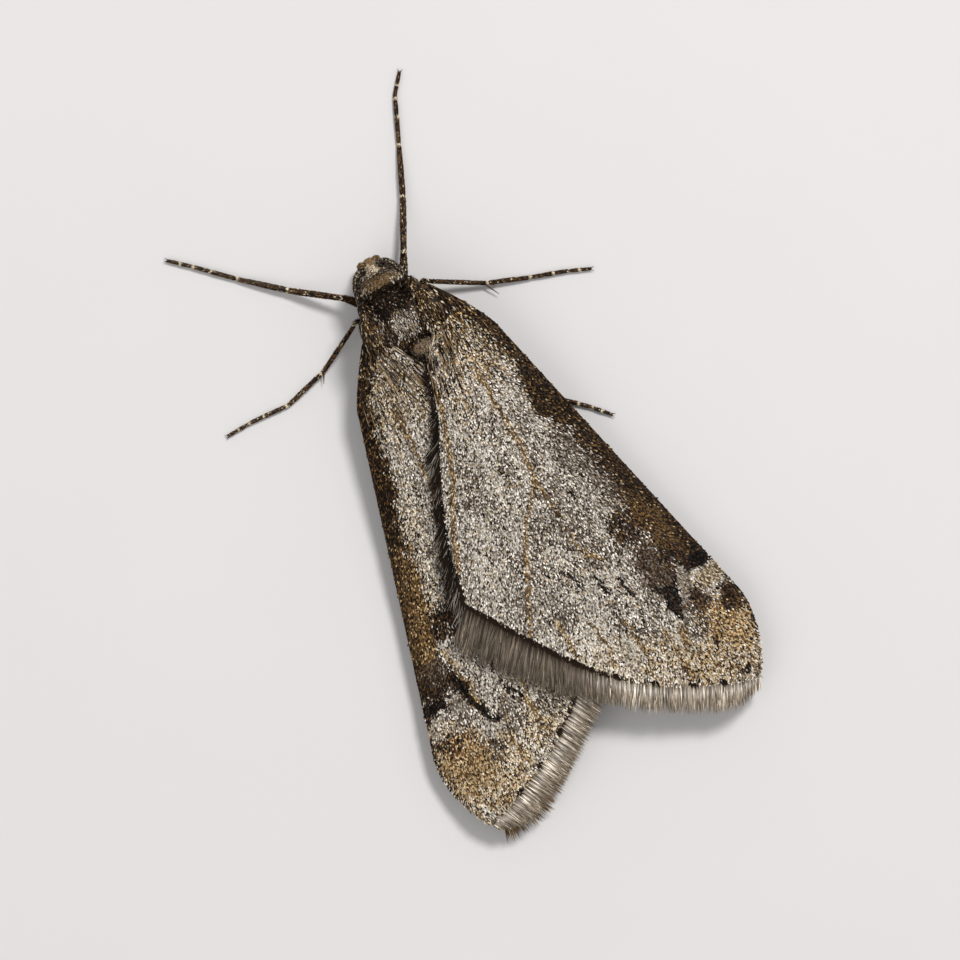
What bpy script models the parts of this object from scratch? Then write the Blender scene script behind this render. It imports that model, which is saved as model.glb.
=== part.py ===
"""A male March moth at rest, life size, as solids: head toward -Y, back up, wings folded flat.

Every size below is in millimetres and is turned into metres by the helpers. A place on the animal
is given as (out, back, up): out from the midline on its own side, back from the front edge of the
collar toward the tail, and up from the floor.
"""

import math
from dataclasses import dataclass

import bmesh
import bpy
from mathutils import Matrix, Vector

MM = 0.001
GAP = 0.10  # parting between neighbouring pieces
PLATE = 0.50  # thickness of the wing plates
LIMB = 0.25  # radius of feelers, shanks and feet
HIP = 0.29  # radius of a coxa
THIGH = 0.28  # radius of a femur
TIP_ROUND = 0.10  # length over which a foot or feeler rounds off
SOLE = 0.235  # height of a foot's middle line, so that its underside is planed to a small flat

LEFT = 1
RIGHT = -1

# Body masses: middle and half sizes as (across, back, up)
HEAD_MIDDLE = (0.0, -0.06, 1.42)
HEAD_HALF = (0.58, 0.44, 0.52)
EYE_PLACE = (0.42, -0.10, 1.28)
EYE_RADIUS = 0.38
PALP_FROM = (0.28, -0.18, 1.10)
PALP_TO = (0.28, -0.42, 0.62)
COLLAR_MIDDLE = (0.02, 0.30, 1.88)
COLLAR_HALF = (0.70, 0.34, 0.56)
THORAX_MIDDLE = (0.02, 1.66, 1.85)
THORAX_HALF = (1.06, 1.34, 1.12)
KNOB_MIDDLE = (-0.18, 2.76, 2.28)
KNOB_HALF = (0.34, 0.44, 0.36)
TEGULA_MIDDLE = (1.08, 1.48, 2.42)
TEGULA_HALF = (0.42, 0.82, 0.42)

# Abdomen: a tapering barrel of telescoped rings
ABDOMEN_FRONT = 3.12
ABDOMEN_BACK = 10.9
ABDOMEN_RINGS = 8
ABDOMEN_RADIUS = 0.76
ABDOMEN_TIP_RADIUS = 0.27
ABDOMEN_HEIGHT = 0.90
ABDOMEN_CREASE = 0.05

# Feeler: root on the crown, over the eye, then tucked back under the wing root
FEELER = (
    (0.24, -0.20, 1.84),
    (0.46, -0.17, 1.96),
    (0.63, 0.04, 1.93),
    (0.72, 0.38, 1.78),
    (1.00, 0.98, 1.46),
    (1.30, 1.80, 1.27),
    (1.50, 3.00, 1.14),
    (1.84, 4.30, 1.08),
)


@dataclass(frozen=True)
class Forewing:
    """Outline of one forewing, out to the tips of its fringe."""

    side: int
    root_back: float  # front end of the wing root
    costa_at_four: float  # reach of the leading edge 4 mm behind the collar
    costa_slope: float
    shoulder_end: float
    shoulder_depth: float
    shoulder_power: float
    apex_start: float  # where the leading edge begins to round off
    apex_back: float  # rearmost reach of the apex fringe
    lifted: bool  # the upper of the two wings where they cross


FOREWINGS = {
    LEFT: Forewing(LEFT, 1.25, 2.67, 0.2767, 3.7, 0.93, 1.3, 14.8, 18.22, False),
    RIGHT: Forewing(RIGHT, 1.00, 2.95, 0.2644, 3.3, 0.84, 1.5, 14.5, 18.02, True),
}
ROOT_OUT = 1.10  # reach of the inner margin at the wing root
ROOT_BACK = 1.00
TORNUS_OUT = -3.45  # the hind corner lies past the midline
TORNUS_BACK = 11.2
APEX_OUT = 4.50
APEX_ROUND = 0.21
APEX_POWER = 1.8
MARGIN_WAVE = 0.22
TERMEN_EASE = 0.60  # share of the outer margin that runs straight before it turns to the apex

# Roof that the wings make: height of the lower wing's upper face
RIDGE_HEIGHT = 2.32
RIDGE_FALL = 1.15
RIDGE_FROM = 4.0
RIDGE_LENGTH = 14.0
RIDGE_POWER = 1.6
EAVE_HEIGHT = 1.10
EAVE_RISE = 0.75
EAVE_LENGTH = 4.0
ROOT_RISE = 0.35
ROOT_RISE_LENGTH = 1.5
COSTA_ROLL = 0.22  # the leading edge turns down a little
COSTA_ROLL_WIDTH = 0.5
CROSS_LIFT = 0.62  # how far the upper wing rides over the lower

# Hindwings, under the forewings beside the abdomen
HINDWING_FRONT = 3.3
HINDWING_INNER = 0.97
HINDWING_REAR_INNER = 0.30
HINDWING_INSET = 0.60
HINDWING_NARROW = 0.90
HINDWING_DROP = 0.10
HINDWING_SHIFT = {LEFT: 0.36, RIGHT: -0.55}

# Legs: joints from the hip on, as (out, back, up); the last points are the foot
LEGS = {
    ("fore", LEFT): (
        (0.36, 1.20, 1.20),
        (0.55, 0.92, 0.50),
        (1.22, 0.22, 0.86),
        (2.71, -0.87, 0.45),
        (4.02, -1.99, SOLE),
        (5.16, -3.06, SOLE),
        (5.80, -3.62, SOLE),
    ),
    ("fore", RIGHT): (
        (0.36, 1.20, 1.20),
        (0.53, 0.94, 0.50),
        (1.13, -0.14, 0.86),
        (1.98, -1.82, 0.45),
        (2.68, -3.43, SOLE),
        (3.33, -4.95, SOLE),
        (3.80, -5.54, SOLE),
    ),
    ("mid", LEFT): (
        (0.36, 2.05, 1.20),
        (0.60, 2.00, 0.50),
        (1.20, 1.04, 0.78),
        (2.96, 1.98, 0.45),
        (4.50, 2.42, SOLE),
        (5.87, 2.35, SOLE),
        (6.69, 2.39, SOLE),
    ),
    ("mid", RIGHT): (
        (0.36, 2.05, 1.20),
        (0.60, 2.00, 0.50),
        (1.26, 0.87, 0.78),
        (3.03, 1.87, 0.45),
        (4.39, 2.38, SOLE),
        (5.60, 2.77, SOLE),
        (6.33, 3.07, SOLE),
    ),
    ("hind", LEFT): (
        (0.38, 2.72, 1.20),
        (0.64, 2.82, 0.50),
        (1.36, 3.34, 0.62),
        (2.02, 5.30, 0.34),
        (2.40, 6.80, SOLE),
        (2.66, 7.66, SOLE),
        (2.84, 8.34, SOLE),
    ),
    ("hind", RIGHT): (
        (0.38, 2.72, 1.20),
        (0.64, 2.82, 0.50),
        (1.36, 3.34, 0.62),
        (2.62, 5.20, 0.34),
        (3.50, 6.42, SOLE),
        (4.20, 7.05, SOLE),
        (4.73, 7.62, SOLE),
    ),
}
LEG_SEGMENTS = {"coxa": (HIP, HIP), "femur": (THIGH, LIMB), "tibia": (LIMB, LIMB), "tarsus": ()}
SIDE_NAMES = {LEFT: "left", RIGHT: "right"}

COLOURS = {
    "head": (0.30, 0.22, 0.15),
    "eye": (0.03, 0.02, 0.02),
    "palp": (0.32, 0.18, 0.08),
    "antenna": (0.12, 0.09, 0.07),
    "collar": (0.20, 0.15, 0.08),
    "thorax": (0.10, 0.07, 0.05),
    "tegula": (0.13, 0.09, 0.06),
    "abdomen": (0.36, 0.30, 0.23),
    "forewing": (0.38, 0.32, 0.26),
    "hindwing": (0.46, 0.41, 0.34),
    "leg": (0.13, 0.08, 0.05),
}


def smooth(value):
    """Ease from 0 to 1 as value goes from 0 to 1."""
    value = min(max(value, 0.0), 1.0)
    return value * value * (3.0 - 2.0 * value)


def place(side, out, back, up):
    """A point in metres from its place on one side of the animal."""
    return Vector((side * out * MM, back * MM, up * MM))


class Workshop:
    """Holds the collections and makes named solids and hidden cutters."""

    def __init__(self):
        for leftover in list(bpy.data.objects):
            bpy.data.objects.remove(leftover)
        scene = bpy.context.scene.collection
        self.solids = bpy.data.collections.new("moth")
        self.cutters = bpy.data.collections.new("cutters")
        scene.children.link(self.solids)
        scene.children.link(self.cutters)
        self.cutters.hide_render = True

    def material(self, name, kind):
        """A plain surface for one piece."""
        material = bpy.data.materials.new(name)
        material.use_nodes = True
        shader = material.node_tree.nodes["Principled BSDF"]
        shader.inputs["Base Color"].default_value = (*COLOURS[kind], 1.0)
        shader.inputs["Roughness"].default_value = 0.25 if kind == "eye" else 0.8
        return material

    def piece(self, name, bm, kind):
        """A visible solid from a bmesh."""
        bmesh.ops.recalc_face_normals(bm, faces=bm.faces)
        mesh = bpy.data.meshes.new(name)
        bm.to_mesh(mesh)
        bm.free()
        mesh.materials.append(self.material(name, kind))
        made = bpy.data.objects.new(name, mesh)
        self.solids.objects.link(made)
        return made

    def cutter(self, name, bm):
        """A helper that only removes material from its neighbours."""
        bmesh.ops.recalc_face_normals(bm, faces=bm.faces)
        mesh = bpy.data.meshes.new(name)
        bm.to_mesh(mesh)
        bm.free()
        made = bpy.data.objects.new(name, mesh)
        made.hide_render = True
        made.display_type = "WIRE"
        self.cutters.objects.link(made)
        return made

    def part_from(self, piece, cutters):
        """Part one piece from its neighbours by a thin cut."""
        for number, cutter in enumerate(cutters):
            cut = piece.modifiers.new(f"part{number}", "BOOLEAN")
            cut.operation = "DIFFERENCE"
            cut.solver = "EXACT"
            cut.object = cutter

    def join_with(self, piece, other):
        """Merge a hidden helper into a piece."""
        join = piece.modifiers.new("join", "BOOLEAN")
        join.operation = "UNION"
        join.solver = "EXACT"
        join.object = other


def ellipsoid(middle, half, side=1, grow=0.0, around=24, rows=14, pinch=0.0):
    """A bmesh ellipsoid; pinch narrows its rear."""
    bm = bmesh.new()
    bmesh.ops.create_uvsphere(bm, u_segments=around, v_segments=rows, radius=1.0)
    centre = place(side, *middle)
    for vert in bm.verts:
        x, y, z = vert.co
        narrow = 1.0 - pinch * max(y, 0.0) ** 2
        vert.co = centre + Vector(
            (
                x * narrow * (half[0] + grow) * MM,
                y * (half[1] + grow) * MM,
                z * (half[2] + grow) * MM,
            )
        )
    return bm


def ring_of(middle, heading, radius, sides, normal):
    """Points of one ring round a limb, on the plane through its middle with this normal."""
    level = heading.cross(Vector((0.0, 0.0, 1.0))).normalized()
    upright = level.cross(heading).normalized()
    points = []
    for step in range(sides):
        turn = 2.0 * math.pi * (step + 0.5) / sides
        spoke = (level * math.sin(turn) + upright * math.cos(turn)) * radius
        slide = -spoke.dot(normal) / heading.dot(normal)
        points.append(middle + spoke + heading * slide)
    return points


def limb(points, radii, sides=10, start_normal=None, end_normal=None, squash=1.0, round_tip=False):
    """A bmesh tube through points in metres, mitred at each bend and closed at both ends."""
    bm = bmesh.new()
    if round_tip:
        ahead = (points[-1] - points[-2]).normalized()
        points = points[:-1] + [points[-1] - ahead * TIP_ROUND * MM, points[-1]]
        radii = radii + [radii[-1] * 0.62]
    count = len(points)
    headings = [(points[i + 1] - points[i]).normalized() for i in range(count - 1)]
    rim = None
    for index, middle in enumerate(points):
        before = headings[max(index - 1, 0)]
        after = headings[min(index, count - 2)]
        normal = (before + after).normalized()
        if index == 0 and start_normal is not None:
            normal = start_normal
        if index == count - 1 and end_normal is not None:
            normal = end_normal
        heading = after if index == 0 else before
        ring = ring_of(middle, heading, radii[index], sides, normal)
        if rim is None:
            made = bmesh.ops.create_circle(bm, cap_ends=True, segments=sides, radius=MM)
            verts = made["verts"]
            rim = [edge for edge in bm.edges]
        else:
            made = bmesh.ops.extrude_edge_only(bm, edges=rim)
            verts = [item for item in made["geom"] if isinstance(item, bmesh.types.BMVert)]
            rim = [item for item in made["geom"] if isinstance(item, bmesh.types.BMEdge)]
            rim = [edge for edge in rim if edge.is_boundary]
        for vert, co in zip(verts, ring):
            vert.co = middle + Vector(
                (co.x - middle.x, co.y - middle.y, (co.z - middle.z) * squash)
            )
    bmesh.ops.contextual_create(bm, geom=rim)
    bmesh.ops.triangulate(bm, faces=bm.faces)
    return bm


def planed(bm):
    """Plane everything below the floor off a shape and close it again."""
    cut = bmesh.ops.bisect_plane(
        bm,
        geom=bm.verts[:] + bm.edges[:] + bm.faces[:],
        dist=1e-7,
        plane_co=(0.0, 0.0, 0.0),
        plane_no=(0.0, 0.0, -1.0),
        clear_outer=True,
    )
    edges = [item for item in cut["geom_cut"] if isinstance(item, bmesh.types.BMEdge)]
    if edges:
        bmesh.ops.holes_fill(bm, edges=[edge for edge in bm.edges if edge.is_boundary])
    return bm


def costa_out(wing, back):
    """Reach of the leading edge at one station."""
    reach = wing.costa_at_four + wing.costa_slope * (back - 4.0)
    if back < wing.shoulder_end:
        share = (wing.shoulder_end - back) / (wing.shoulder_end - wing.root_back)
        reach -= wing.shoulder_depth * min(share, 1.3) ** wing.shoulder_power
    if back > wing.apex_start:
        reach -= APEX_ROUND * (back - wing.apex_start) ** APEX_POWER
    return reach


def inner_out(wing, back):
    """Reach of the inner margin and then of the outer margin, past the midline when negative."""
    if back < TORNUS_BACK:
        share = (back - ROOT_BACK) / (TORNUS_BACK - ROOT_BACK)
        wave = MARGIN_WAVE * math.sin(2.0 * math.pi * share)
        return ROOT_OUT + (TORNUS_OUT - ROOT_OUT) * share + wave
    share = (back - TORNUS_BACK) / (wing.apex_back - TORNUS_BACK)
    eased = TERMEN_EASE * share + (1.0 - TERMEN_EASE) * share**6
    return TORNUS_OUT + (APEX_OUT - TORNUS_OUT) * eased


def roof_height(wing, out, back, rolled=True):
    """Height of the lower wing's upper face on this side."""
    fall = max((back - RIDGE_FROM) / RIDGE_LENGTH, 0.0) ** RIDGE_POWER
    rise = ROOT_RISE * math.exp(-(((back - ROOT_BACK) / ROOT_RISE_LENGTH) ** 2))
    ridge = RIDGE_HEIGHT - RIDGE_FALL * min(fall, 1.0) + rise
    eave = EAVE_HEIGHT + EAVE_RISE * math.exp(-(back - ROOT_BACK) / EAVE_LENGTH) + rise
    reach = costa_out(wing, min(back, wing.apex_start + 0.8))
    share = min(abs(out) / reach, 1.0)
    height = eave + (max(ridge, eave) - eave) * (1.0 - share * share)
    if rolled:
        inward = (abs(out) - (reach - COSTA_ROLL_WIDTH)) / COSTA_ROLL_WIDTH
        height -= COSTA_ROLL * smooth(inward) * smooth((back - 5.0) / 3.0)
    return height


def forewing_height(wing, out, back):
    """Height of one forewing's upper face, with the upper wing carried over the lower."""
    under = wing if out >= 0.0 else FOREWINGS[-wing.side]
    height = roof_height(under, out, back, rolled=out >= 0.0)
    if wing.lifted:
        lower = FOREWINGS[-wing.side]
        edge = -inner_out(lower, back) + 0.25
        reach = costa_out(wing, min(back, wing.apex_start + 0.8))
        spare = max(reach - edge, 0.6)
        taper = 1.0 - 0.85 * smooth((out - edge) / spare)
        height += CROSS_LIFT * smooth((back - 2.0) / 1.3) * taper
    return height


def plate(width_at, height_at, side, stations, across, thickness):
    """A bmesh plate mapped from a flat grid: width_at gives (inner, outer) at each station."""
    bm = bmesh.new()
    rows = len(stations)
    bmesh.ops.create_grid(bm, x_segments=across, y_segments=rows - 1, size=0.5)
    tops = list(bm.verts)
    for vert in tops:
        row = round((vert.co.y + 0.5) * (rows - 1))
        share = vert.co.x + 0.5
        inner, outer = width_at(stations[row])
        out = inner + (outer - inner) * share
        vert.co = place(side, out, stations[row], height_at(out, stations[row]))
    made = bmesh.ops.extrude_face_region(bm, geom=list(bm.faces))
    lower = [item for item in made["geom"] if isinstance(item, bmesh.types.BMVert)]
    bmesh.ops.translate(bm, verts=lower, vec=(0.0, 0.0, -thickness * MM))
    return bm


def stations_between(first, last, step, close_from, close_steps):
    """Stations from root to tip, closer together where the tip rounds off."""
    count = max(int((close_from - first) / step), 1)
    found = [first + (close_from - first) * i / count for i in range(count)]
    for i in range(close_steps + 1):
        share = i / close_steps
        found.append(close_from + (last - close_from) * (1.0 - (1.0 - share) ** 1.7))
    return found


def forewing(side, grow=0.0):
    """A bmesh forewing; grow makes it larger all round, for parting its neighbours."""
    wing = FOREWINGS[side]
    tip = wing.apex_back - 0.06
    stations = stations_between(wing.root_back, tip, 0.6, 15.4, 10)
    if grow:
        stations = [wing.root_back - grow] + stations + [tip + grow]

    def width_at(back):
        held = min(max(back, wing.root_back), tip)
        return inner_out(wing, held) - grow, costa_out(wing, held) + 0.05 + grow

    def height_at(out, back):
        return forewing_height(wing, out, back) + grow

    return plate(width_at, height_at, side, stations, 8, PLATE + 2.0 * grow)


def hindwing(side):
    """A bmesh hindwing, folded under its forewing and resting its tip on the floor."""
    wing = FOREWINGS[side]
    shift = HINDWING_SHIFT[side]
    tip = wing.apex_back + shift - 0.04
    stations = stations_between(HINDWING_FRONT, tip, 0.9, 15.4, 8)
    spare = 0.12 if side == LEFT else HINDWING_INSET

    def width_at(back):
        narrow = HINDWING_NARROW * math.exp(-(back - 4.0) / 2.0)
        near_tip = smooth((back - 14.0) / 3.0)
        inset = HINDWING_INSET + (spare - HINDWING_INSET) * near_tip
        outer = costa_out(wing, back - max(shift, 0.0)) - inset - narrow
        clear = smooth((back - 10.6) / 1.6)
        inner = HINDWING_INNER + (HINDWING_REAR_INNER - HINDWING_INNER) * clear
        inner = max(inner, inner_out(wing, back - shift))
        outer = max(outer, inner + 0.22)
        return inner, outer

    def height_at(out, back):
        under = roof_height(wing, out, back, rolled=False) - PLATE - GAP
        under -= HINDWING_DROP * smooth((back - 13.5) / 2.5)
        return max(under, PLATE)

    return plate(width_at, height_at, side, stations, 6, PLATE)


def abdomen():
    """A bmesh abdomen: rings that lap like the lengths of a telescope."""
    points = []
    radii = []
    length = ABDOMEN_BACK - ABDOMEN_FRONT
    for ring in range(ABDOMEN_RINGS):
        for step, crease in ((0.04, ABDOMEN_CREASE), (0.35, 0.0), (0.93, 0.0)):
            share = (ring + step) / ABDOMEN_RINGS
            swell = math.sin(math.pi * min(0.30 + 0.5 * share, 1.0)) ** 0.8
            taper = 1.0 - smooth((share - 0.45) / 0.75) * 0.85
            radius = ABDOMEN_TIP_RADIUS
            radius += (ABDOMEN_RADIUS - ABDOMEN_TIP_RADIUS) * min(swell * 1.04, 1.0) * taper
            height = ABDOMEN_HEIGHT - 0.22 * smooth(share)
            points.append(place(LEFT, 0.0, ABDOMEN_FRONT + length * share, height))
            radii.append((radius - crease) * MM)
    return limb(points, radii, sides=18, squash=0.9)


def feeler(side, grow=0.0):
    """A bmesh feeler; grow makes it thicker, for parting its neighbours."""
    points = [place(side, *spot) for spot in FEELER]
    radii = [(LIMB + grow) * MM] * len(points)
    return limb(points, radii, round_tip=not grow)


def build_body(shop):
    """Head, collar, thorax with its knob, tegulae and abdomen, parted from one another."""
    wing_cuts = {side: shop.cutter(f"cut_wing{side}", forewing(side, GAP)) for side in SIDE_NAMES}
    eye_cuts = []
    for side, word in SIDE_NAMES.items():
        half = (EYE_RADIUS,) * 3
        shop.piece(f"eye_{word}", ellipsoid(EYE_PLACE, half, side, 0.0, 16, 10), "eye")
        grown = ellipsoid(EYE_PLACE, half, side, GAP * 0.5, 16, 10)
        eye_cuts.append(shop.cutter(f"cut_eye{side}", grown))
    feeler_cuts = [shop.cutter(f"cut_feeler{side}", feeler(side, GAP)) for side in SIDE_NAMES]
    head_cut = shop.cutter("cut_head", ellipsoid(HEAD_MIDDLE, HEAD_HALF, 1, GAP, 16, 10))
    thorax_cut = shop.cutter(
        "cut_thorax", ellipsoid(THORAX_MIDDLE, THORAX_HALF, 1, GAP, 20, 12, 0.18)
    )

    head = shop.piece("head", ellipsoid(HEAD_MIDDLE, HEAD_HALF, 1, 0.0, 16, 10), "head")
    shop.part_from(head, eye_cuts)
    collar = shop.piece("collar", ellipsoid(COLLAR_MIDDLE, COLLAR_HALF, 1, 0.0, 18, 10), "collar")
    shop.part_from(collar, [head_cut, thorax_cut, *feeler_cuts])

    thorax_shape = ellipsoid(THORAX_MIDDLE, THORAX_HALF, 1, 0.0, 20, 12, 0.18)
    thorax = shop.piece("thorax", thorax_shape, "thorax")
    knob = shop.cutter("helper_knob", ellipsoid(KNOB_MIDDLE, KNOB_HALF, 1, 0.0, 16, 10))
    shop.join_with(thorax, knob)
    shop.part_from(thorax, [*wing_cuts.values(), *feeler_cuts])
    for side, word in SIDE_NAMES.items():
        shape = ellipsoid(TEGULA_MIDDLE, TEGULA_HALF, side, 0.0, 16, 10)
        tegula = shop.piece(f"tegula_{word}", shape, "tegula")
        shop.part_from(tegula, [thorax_cut, wing_cuts[side]])
    shop.piece("abdomen", abdomen(), "abdomen")
    return {"head": head_cut, "thorax": thorax_cut, "eyes": eye_cuts}


def build_feelers(shop, cuts):
    """The palps and the feelers."""
    for side, word in SIDE_NAMES.items():
        points = [place(side, *PALP_FROM), place(side, *PALP_TO)]
        shape = limb(points, [LIMB * MM, LIMB * MM], round_tip=True)
        palp = shop.piece(f"palp_{word}", shape, "palp")
        shop.part_from(palp, [cuts["head"], *cuts["eyes"]])
        antenna = shop.piece(f"antenna_{word}", feeler(side), "antenna")
        shop.part_from(antenna, [cuts["head"], *cuts["eyes"]])


def build_legs(shop, cuts):
    """Six legs of four lengths each, mitred at the joints with a thin parting."""
    half_gap = GAP * 0.5 * MM
    for (pair, side), spots in LEGS.items():
        joints = [place(side, *spot) for spot in spots]
        headings = [(joints[i + 1] - joints[i]).normalized() for i in range(len(joints) - 1)]
        for index, segment in enumerate(LEG_SEGMENTS):
            last = index == len(LEG_SEGMENTS) - 1
            run = joints[index:] if last else joints[index : index + 2]
            run = [point.copy() for point in run]
            start_normal = None
            end_normal = None
            if index > 0:
                start_normal = (headings[index - 1] + headings[index]).normalized()
                run[0] += headings[index] * (half_gap / headings[index].dot(start_normal))
            if not last:
                end_normal = (headings[index] + headings[index + 1]).normalized()
                run[-1] -= headings[index] * (half_gap / headings[index].dot(end_normal))
            radii = [radius * MM for radius in LEG_SEGMENTS[segment] or [LIMB] * len(run)]
            shape = limb(run, radii, 10, start_normal, end_normal, 1.0, last)
            if last:
                planed(shape)
            made = shop.piece(f"{pair}leg_{SIDE_NAMES[side]}_{segment}", shape, "leg")
            if segment == "coxa":
                shop.part_from(made, [cuts["thorax"]])


def build_wings(shop):
    """Forewings that cross over the back, and the hindwings folded beneath them."""
    for side, word in SIDE_NAMES.items():
        shop.piece(f"forewing_{word}", forewing(side), "forewing")
        shop.piece(f"hindwing_{word}", hindwing(side), "hindwing")


def centre_on_base(shop):
    """Move the origin to the middle of the underside of the whole animal."""
    bpy.context.view_layer.update()
    graph = bpy.context.evaluated_depsgraph_get()
    low = Vector((1.0, 1.0, 1.0))
    high = -low
    for made in shop.solids.objects:
        solid = made.evaluated_get(graph)
        mesh = solid.to_mesh()
        for vert in mesh.vertices:
            spot = made.matrix_world @ vert.co
            low = Vector(map(min, low, spot))
            high = Vector(map(max, high, spot))
        solid.to_mesh_clear()
    shift = Vector((-(low.x + high.x) / 2.0, -(low.y + high.y) / 2.0, -low.z))
    for made in list(shop.solids.objects) + list(shop.cutters.objects):
        made.matrix_world = Matrix.Translation(shift) @ made.matrix_world


def main():
    """Build the whole animal."""
    shop = Workshop()
    cuts = build_body(shop)
    build_feelers(shop, cuts)
    build_legs(shop, cuts)
    build_wings(shop)
    centre_on_base(shop)


main()
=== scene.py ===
"""Looks of a male March moth at rest: its skins, scales and hair, and the stage round it.

Places on the animal are (x, back, up) in millimetres: x toward the animal's left from its midline,
back from the front edge of the collar toward the tail, and up from the floor. On the wings, out is
the distance from the midline on the wing's own side.
"""

import logging
import math
from collections.abc import Callable
from dataclasses import dataclass, field
from enum import Enum

import bmesh
import bpy
import numpy as np
from mathutils import Matrix, Vector

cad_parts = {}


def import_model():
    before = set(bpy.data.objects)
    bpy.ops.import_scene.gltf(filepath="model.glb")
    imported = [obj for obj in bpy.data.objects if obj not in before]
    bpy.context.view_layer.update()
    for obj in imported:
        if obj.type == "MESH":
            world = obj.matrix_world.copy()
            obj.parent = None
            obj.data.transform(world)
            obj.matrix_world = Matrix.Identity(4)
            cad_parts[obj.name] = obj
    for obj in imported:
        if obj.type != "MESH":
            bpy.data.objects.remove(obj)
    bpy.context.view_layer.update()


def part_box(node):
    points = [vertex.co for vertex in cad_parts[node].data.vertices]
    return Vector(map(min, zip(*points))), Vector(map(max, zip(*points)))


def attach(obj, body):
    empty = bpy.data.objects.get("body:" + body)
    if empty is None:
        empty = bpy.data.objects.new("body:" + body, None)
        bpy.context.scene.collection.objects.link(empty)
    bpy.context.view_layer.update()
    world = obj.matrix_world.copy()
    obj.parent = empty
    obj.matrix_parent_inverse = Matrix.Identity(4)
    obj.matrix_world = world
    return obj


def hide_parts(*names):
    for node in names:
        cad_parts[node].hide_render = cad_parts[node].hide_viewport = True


LOG = logging.getLogger("moth")
Array = np.ndarray
MM = 0.001
BAKE_MAP = "OFBake"
TINT = "tint"
PATCH = 0.003  # side of one blade's patch on the bake map
TURN = math.radians(27.8)  # slant of the view, along which fringes and spurs lie too
UP = np.array([0.0, 0.0, 1.0])
FULL_TURN = 2.0 * math.pi
RadiusAt = Callable[[float], float]


class Seed:
    """Seeds of the pieces' random draws and of the slow variations."""

    SCALES, EDGING, FRINGE, BASE_HAIR, HINDWING = 20, 30, 40, 50, 90
    TRUNK, LEGS, FEELERS = 61, 71, 81
    SWELL, OUTWARD, BACKWARD, CLOUDS, FAN = 5, 11, 12, 13, 14
    TEETH, CLUMPS, TUFTS, DARK_LINE, PELTS = 31, 32, 33, 34, 51


class Count:
    """How many scales or hairs are sown in each place, in each row where there are rows."""

    EDGE, TIP_EDGE, ROOT_EDGE = 5200, 900, 500
    OUTER_FRINGE, CORNER_FRINGE, DARK_LINE, INNER_FRINGE = 880, 80, 1500, 560
    BASE_HAIR, MARGIN_HAIR = 1500, 70
    THORAX, HEAD, ABDOMEN = 33000, 6000, 9500
    LEG, PALP, FEELER = 4600, 800, 3000
    HINDWING, HIND_FRINGE = 14000, 420


class Side(Enum):
    """The animal's own left and right."""

    LEFT = 1
    RIGHT = -1

    @property
    def word(self) -> str:
        """The side's name as the solids have it."""
        return self.name.lower()

    def mirror(self, places: Array) -> Array:
        """Places of the left side moved to this side."""
        return np.array(places) * [self.value, 1.0, 1.0]

    def level(self, outward: Array, backward: Array) -> Array:
        """Level directions from their outward and backward parts."""
        return np.stack([self.value * outward, backward, np.zeros(len(outward))], axis=1)

    def heading(self, angle: Array) -> Array:
        """Level directions turned inward from straight back by an angle."""
        return self.level(-np.sin(angle), np.cos(angle))


class Tone(Enum):
    """Scale colours, as display values from 0 to 255."""

    # The palest scales: partly their own white, partly painted glints that stand in for light
    # sparkling off the scales.
    WHITE = (244, 236, 224)
    SILVER = (186, 175, 161)
    GREY = (116, 104, 90)
    BROWN = (80, 60, 41)
    DARK = (42, 29, 20)
    BLACK = (11, 7, 4)
    GOLD = (202, 172, 124)
    OCHRE = (122, 94, 56)
    TAN = (146, 126, 100)
    CREAM = (222, 205, 174)
    SIENNA = (114, 79, 46)

    @property
    def linear(self) -> Array:
        """The colour as scene-linear values."""
        return to_linear(self.value)


def to_linear(colour: tuple[float, ...]) -> Array:
    """Turn display values from 0 to 255 into scene-linear ones."""
    share = np.asarray(colour, float) / 255.0
    return np.where(share <= 0.04045, share / 12.92, ((share + 0.055) / 1.055) ** 2.4)


def tones_of(*tones: Tone) -> Array:
    """Linear colours of some tones, one row each."""
    return np.array([tone.linear for tone in tones])


PALETTE = tones_of(*Tone)


def ease(value: Array) -> Array:
    """Ease from 0 to 1 as value goes from 0 to 1."""
    value = np.clip(value, 0.0, 1.0)
    return value * value * (3.0 - 2.0 * value)


def drift(x: Array, y: Array, size: float, seed: int) -> Array:
    """Slow random variation over a plane, about -1 to 1.

    Args:
        x: first coordinates.
        y: second coordinates.
        size: distance over which the value changes.
        seed: which variation.

    Returns:
        One value for each point.
    """
    dice = np.random.default_rng(seed)
    total = np.zeros(np.broadcast(x, y).shape)
    for _ in range(10):
        turn = dice.uniform(0.0, FULL_TURN)
        pace = dice.uniform(0.6, 1.7) * FULL_TURN / (size * 2.5)
        phase = dice.uniform(0.0, FULL_TURN)
        total += np.sin((x * math.cos(turn) + y * math.sin(turn)) * pace + phase)
    return total / 3.2


def unit(vectors: Array) -> Array:
    """Vectors scaled to length one."""
    return vectors / np.maximum(np.linalg.norm(vectors, axis=-1, keepdims=True), 1e-12)


@dataclass(frozen=True)
class Plan:
    """Where the animal's midline and collar lie in the frame, in metres."""

    middle_x: float
    collar_y: float

    @classmethod
    def from_frame(cls) -> "Plan":
        """Read the midline and the collar's front from the two eyes.

        Returns:
            The plan.
        """
        low_left, high_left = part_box("eye_left")
        low_right, high_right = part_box("eye_right")
        middle = (low_left.x + high_left.x + low_right.x + high_right.x) / 4.0
        return cls(middle, (low_left.y + high_left.y) / 2.0 + 0.10 * MM)

    def metres(self, places: Array) -> Array:
        """Places in millimetres as points of the frame."""
        points = np.asarray(places, float) * MM
        return points + np.array([self.middle_x, self.collar_y, 0.0])


# ---- finishes


def set_inputs(node: bpy.types.Node, values: dict[str, object]) -> None:
    """Set unlinked inputs of a node by name."""
    for name, value in values.items():
        node.inputs[name].default_value = value


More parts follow.
